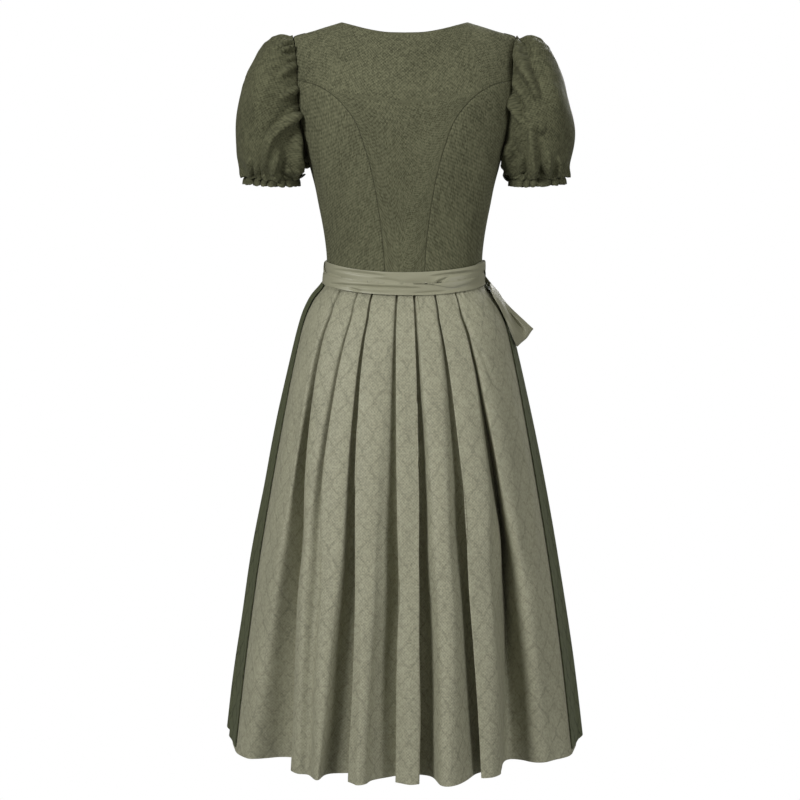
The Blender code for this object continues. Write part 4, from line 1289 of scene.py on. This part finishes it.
def ribbonRound(name, node, table, creases=(), seed=0.0):
    plan = ribbonPlan
    first, last = table["angle"][0], table["angle"][-1]
    degree = np.linspace(first, last, int((last - first) / plan["step"]) + 1)[None, :]
    angle = np.radians(degree)
    top, bottom, layer = (smoothRead(table["angle"], table[key], degree)
                          for key in ("top", "bottom", "layer"))
    share = np.linspace(0, 1, plan["rows"])[:, None]
    down = sashLevel(angle) - (top + (bottom - top) * share) * plan["depth"] / 2
    wide = (top - bottom) * plan["depth"] / 2
    flat = movedOut(waistSurface, angle + 0 * share, down, layerOut(layer) + 0 * share)
    shift = plan["crown"] * (np.sin(np.pi * share) ** .6 - .3)
    # long soft wrinkles that run with the ribbon
    wrinkle = np.sin((share - .5) * wide * 330 + angle * 2.2 + seed) * np.sin(angle * 3.3 + seed) ** 2
    shift = shift + plan["wrinkle"] * wrinkle
    shift = shift + creaseDepth(flat[..., 0], -flat[..., 2], creases) * (flat[..., 1] < 0)
    shift = np.maximum(shift, -.0023 if creases else -.0006)
    grid = flat + gridNormals(flat) * shift[..., None]
    lengths = (clothLengths(grid)[0], np.broadcast_to(share * wide, grid.shape[:2]))
    piece = clothPiece(name, grid, cut["ribbonWall"], ribbonCloth, lengths=lengths,
                       edge=np.minimum(share, 1 - share) * wide, sharp=70)
    return standsFor(piece, node)


ribbonRound("apronWaistband", "apron_waistband", band, seed=.4)
ribbonRound("tieLeft", "tie_left", tieLeft, sashCreases, 1.1)
ribbonRound("tieRight", "tie_right", tieRight, sashCreases, 2.6)
print("ribbon tied round")

# bow

bowPlan = {
    # points of the upper and the lower edge in turn
    # the side loop stands free: distance out, distance to the front, distance down
    "bow_loop_side": (
        (.1180, .075, .3840), (.1180, .075, .3980), (.1340, .040, .3980), (.1370, .036, .4080),
        (.1420, -.006, .4090), (.1400, -.036, .4165), (.1530, -.012, .4220), (.1460, -.052, .4300),
        (.1610, -.012, .4340), (.1560, -.048, .4470), (.1740, -.010, .4485), (.1655, -.042, .4680),
        (.1960, -.004, .4690), (.1745, -.036, .4920), (.2125, .006, .4845), (.1845, -.024, .5110),
        (.1970, .024, .4720), (.1840, .002, .4980), (.1720, .040, .4480), (.1720, .028, .4720),
        (.1500, .056, .4210), (.1560, .050, .4400), (.1260, .078, .3930), (.1290, .076, .4040)),
    # the others lie on the dress: angle, distance down, distance out from the ribbon
    "bow_loop_front": (
        (139.0, .384, .012), (139.0, .398, .012), (148.0, .392, .020), (147.0, .416, .021),
        (157.0, .410, .024), (153.0, .441, .025), (165.0, .432, .019), (159.0, .464, .018),
        (158.0, .416, .009), (153.0, .446, .008), (148.0, .398, .008), (147.0, .419, .008),
        (140.0, .388, .008), (140.0, .399, .008)),
    "bow_tail_side": (
        (126.0, .421, .009), (132.0, .421, .009), (123.0, .448, .009), (133.0, .448, .009),
        (121.0, .500, .006), (132.5, .504, .006), (120.0, .580, .006), (131.0, .580, .006),
        (118.5, .650, .006), (129.0, .628, .006)),
    "bow_tail_front": (
        (135.0, .421, .009), (139.5, .421, .009), (138.0, .448, .009), (147.0, .446, .009),
        (140.0, .500, .006), (150.5, .494, .006), (141.0, .570, .006), (151.5, .564, .006),
        (141.5, .615, .006), (151.5, .640, .006)),
    "parts": 12,             # between two points along a strip
    "rows": 20,
    "foldDepth": .0120,      # the fold down the near side of the side loop, and the roll beside it
    "rollHeight": .0050,
    "knotAngle": 130.0,
    "knotDown": .3905,
    "knot": (.022, .030, .015),    # its width, height and depth
}


def overApron(angle, down):
    # the waist, and the apron's folds below it
    top = waistAt(angle)
    above = bodySurface(angle, np.minimum(down, top))
    fall = np.maximum(0, (down - top) / (hemDown - top))
    below = skirtSurface(angle, fall, -.006 * openedAt(fall))
    return np.where((down <= top)[..., None], above, below)


def bowStrip(name, node, seed):
    plan = bowPlan
    edges = np.array(plan[node])
    if node == "bow_loop_side":
        points = edges * (1, 1, -1)
    else:
        points = movedOut(overApron, np.radians(edges[:, 0]), edges[:, 1], layerOut(3) + edges[:, 2])
    upper, lower = smoothPath(points[0::2], plan["parts"]), smoothPath(points[1::2], plan["parts"])
    share = np.linspace(0, 1, plan["rows"])[:, None]
    grid = upper * (1 - share[..., None]) + lower * share[..., None]
    along = np.linspace(0, 1, grid.shape[1])[None, :]
    # drawn together where it comes out of the knot
    pinch = 1 - easeIn(0, .22, along)
    if "loop" in node:
        pinch = pinch + easeIn(.78, 1, along)
    shift = .0009 * np.sin(share * 16 + seed) * pinch + .0005 * np.sin(share * 9 + along * 5 + seed)
    shift = shift + .0014 * np.sin(np.pi * share) * (1 - .5 * pinch)
    grid = grid + gridNormals(grid) * shift[..., None]
    if node == "bow_loop_side":
        near = easeIn(.36, .50, along) * (1 - easeIn(.54, .63, along))
        grid[..., 1] += near * (plan["foldDepth"] * np.exp(-((share - .46) / .14) ** 2)
                                - plan["rollHeight"] * np.exp(-((share - .82) / .14) ** 2))
    piece = clothPiece(name, grid, cut["ribbonWall"], ribbonCloth, sharp=75,
                       edge=np.minimum(share, 1 - share) * .03 + 0 * along)
    return standsFor(piece, node)


def buildKnot():
    low, high = [np.array(corner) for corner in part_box("bow_knot")]
    middle = (low + high) / 2
    # it faces square out of the waist
    angle, down = np.array(math.radians(bowPlan["knotAngle"])), np.array(bowPlan["knotDown"])
    facing = movedOut(waistSurface, angle, down, .01) - waistSurface(angle, down)
    facing = Vector(facing.ravel()).normalized()
    sideways = Vector((0, 0, 1)).cross(facing).normalized()
    upward = facing.cross(sideways).normalized()
    width, tall, deep = bowPlan["knot"]
    around = 2 * np.pi * np.arange(72) / 72
    t = np.linspace(-1, 1, 30)[:, None]
    # a wrapped turn of ribbon: fuller in the middle, with gathered pleats across it
    over, out = (np.sign(part) * np.abs(part) ** .8 for part in (np.cos(around), np.sin(around)))
    pleat = 1 + .045 * np.sin(t * 11 + 1.4 * np.sin(around)) + .03 * np.sin(t * 19 + 2 * np.cos(around))
    u = over * tall / 2 * (.94 + .06 * np.cos(t * 3)) * .96
    v = out * deep / 2 * (1 - .12 * np.abs(t) ** 2.5) * pleat * .92
    w = t * width / 2 * (1 + .05 * np.sin(2 * around)) * .95
    ways = ((u, upward), (v, facing), (w, sideways))
    grid = middle + sum(part[..., None] * np.array(way) for part, way in ways)
    normal = gridNormals(grid, closed=True)
    if (normal * (grid - grid.mean(axis=1, keepdims=True))).sum() < 0:
        grid = grid[:, ::-1]
    piece = clothPiece("bowKnot", grid, cut["ribbonWall"], ribbonCloth, closed=True, sharp=75)
    return standsFor(piece, "bow_knot")


bowStrip("bowLoopSide", "bow_loop_side", .3)
bowStrip("bowLoopFront", "bow_loop_front", 1.7)
bowStrip("bowTailSide", "bow_tail_side", 2.9)
bowStrip("bowTailFront", "bow_tail_front", 4.1)
buildKnot()
print("bow tied")
# floor, light and camera

studio = {
    "floorLevel": -1.38,
    "floorHalf": 30,
    "floorWhite": 1.0,       # as the camera sees it
    "floorGiven": .30,       # what it gives back to the dress
    "ambient": .10,
    "ambientColour": (1.0, .96, .76),
    "key": {"size": 1.3, "power": 128, "from": (-2.7, -3.1, 1.2), "to": (0, 0, -.8)},
    "fill": {"size": 1.8, "power": 52, "from": (3.0, -2.9, -.3), "to": (0, 0, -.9)},
    "top": {"size": 2.6, "power": 26, "from": (0, -.9, 2.6), "to": (0, 0, -.8)},
    "behind": {"size": 2.6, "power": 80, "from": (1.3, 3.4, 1.5), "to": (0, 0, -.6)},
    "camera": {"place": (-.0074, -3.19930, -.23694), "pitch": 6.5, "lens": 87.818},
}


def seenAs(tree, toCamera, toDress, out):
    # one look for the camera and another for what falls on the dress
    path = addNode(tree, "LightPath")
    mix = addNode(tree, "MixShader", {0: path.outputs["Is Camera Ray"], 1: toDress.outputs[0],
                                      2: toCamera.outputs[0]})
    tree.links.new(mix.outputs[0], out.inputs[0])


def buildFloor():
    mesh = bpy.data.meshes.new("studioFloor")
    half, level = studio["floorHalf"], studio["floorLevel"]
    corners = [(-half, -half, level), (half, -half, level), (half, half, level), (-half, half, level)]
    mesh.from_pydata(corners, [], [(0, 1, 2, 3)])
    finish, tree, shader = newFinish("paleFloor", (studio["floorGiven"],) * 3, .9, {"Specular IOR Level": 0})
    glow = addNode(tree, "Emission", {"Strength": studio["floorWhite"]})
    seenAs(tree, glow, shader, tree.nodes["Material Output"])
    mesh.materials.append(finish)
    newObject("studioFloor", mesh)


def areaLight(name):
    facts = studio[name]
    data = bpy.data.lights.new(name, "AREA")
    data.shape = "DISK"
    data.size = facts["size"]
    data.energy = facts["power"]
    lamp = newObject(name, data)
    lamp.location = facts["from"]
    aim = Vector(facts["to"]) - Vector(facts["from"])
    lamp.rotation_euler = aim.to_track_quat("-Z", "Y").to_euler()


def buildWorld():
    world = bpy.data.worlds.new("studioWorld")
    world.use_nodes = True
    tree = world.node_tree
    tree.nodes.clear()
    seen = addNode(tree, "Background", {"Color": (1, 1, 1, 1), "Strength": studio["floorWhite"]})
    given = addNode(tree, "Background", {"Color": (*studio["ambientColour"], 1),
                                         "Strength": studio["ambient"]})
    seenAs(tree, seen, given, addNode(tree, "OutputWorld"))
    bpy.context.scene.world = world


buildFloor()
for lampName in ("key", "fill", "top", "behind"):
    areaLight(lampName)
buildWorld()
cameraData = bpy.data.cameras.new("front")
cameraData.lens = studio["camera"]["lens"]
cameraData.sensor_width = 36
camera = newObject("front", cameraData)
camera.location = studio["camera"]["place"]
camera.rotation_euler = (math.pi / 2 - math.radians(studio["camera"]["pitch"]), 0, 0)
bpy.context.scene.camera = camera
bpy.context.scene.view_settings.view_transform = "Standard"
bpy.context.scene.view_settings.look = "None"
print("studio ready")
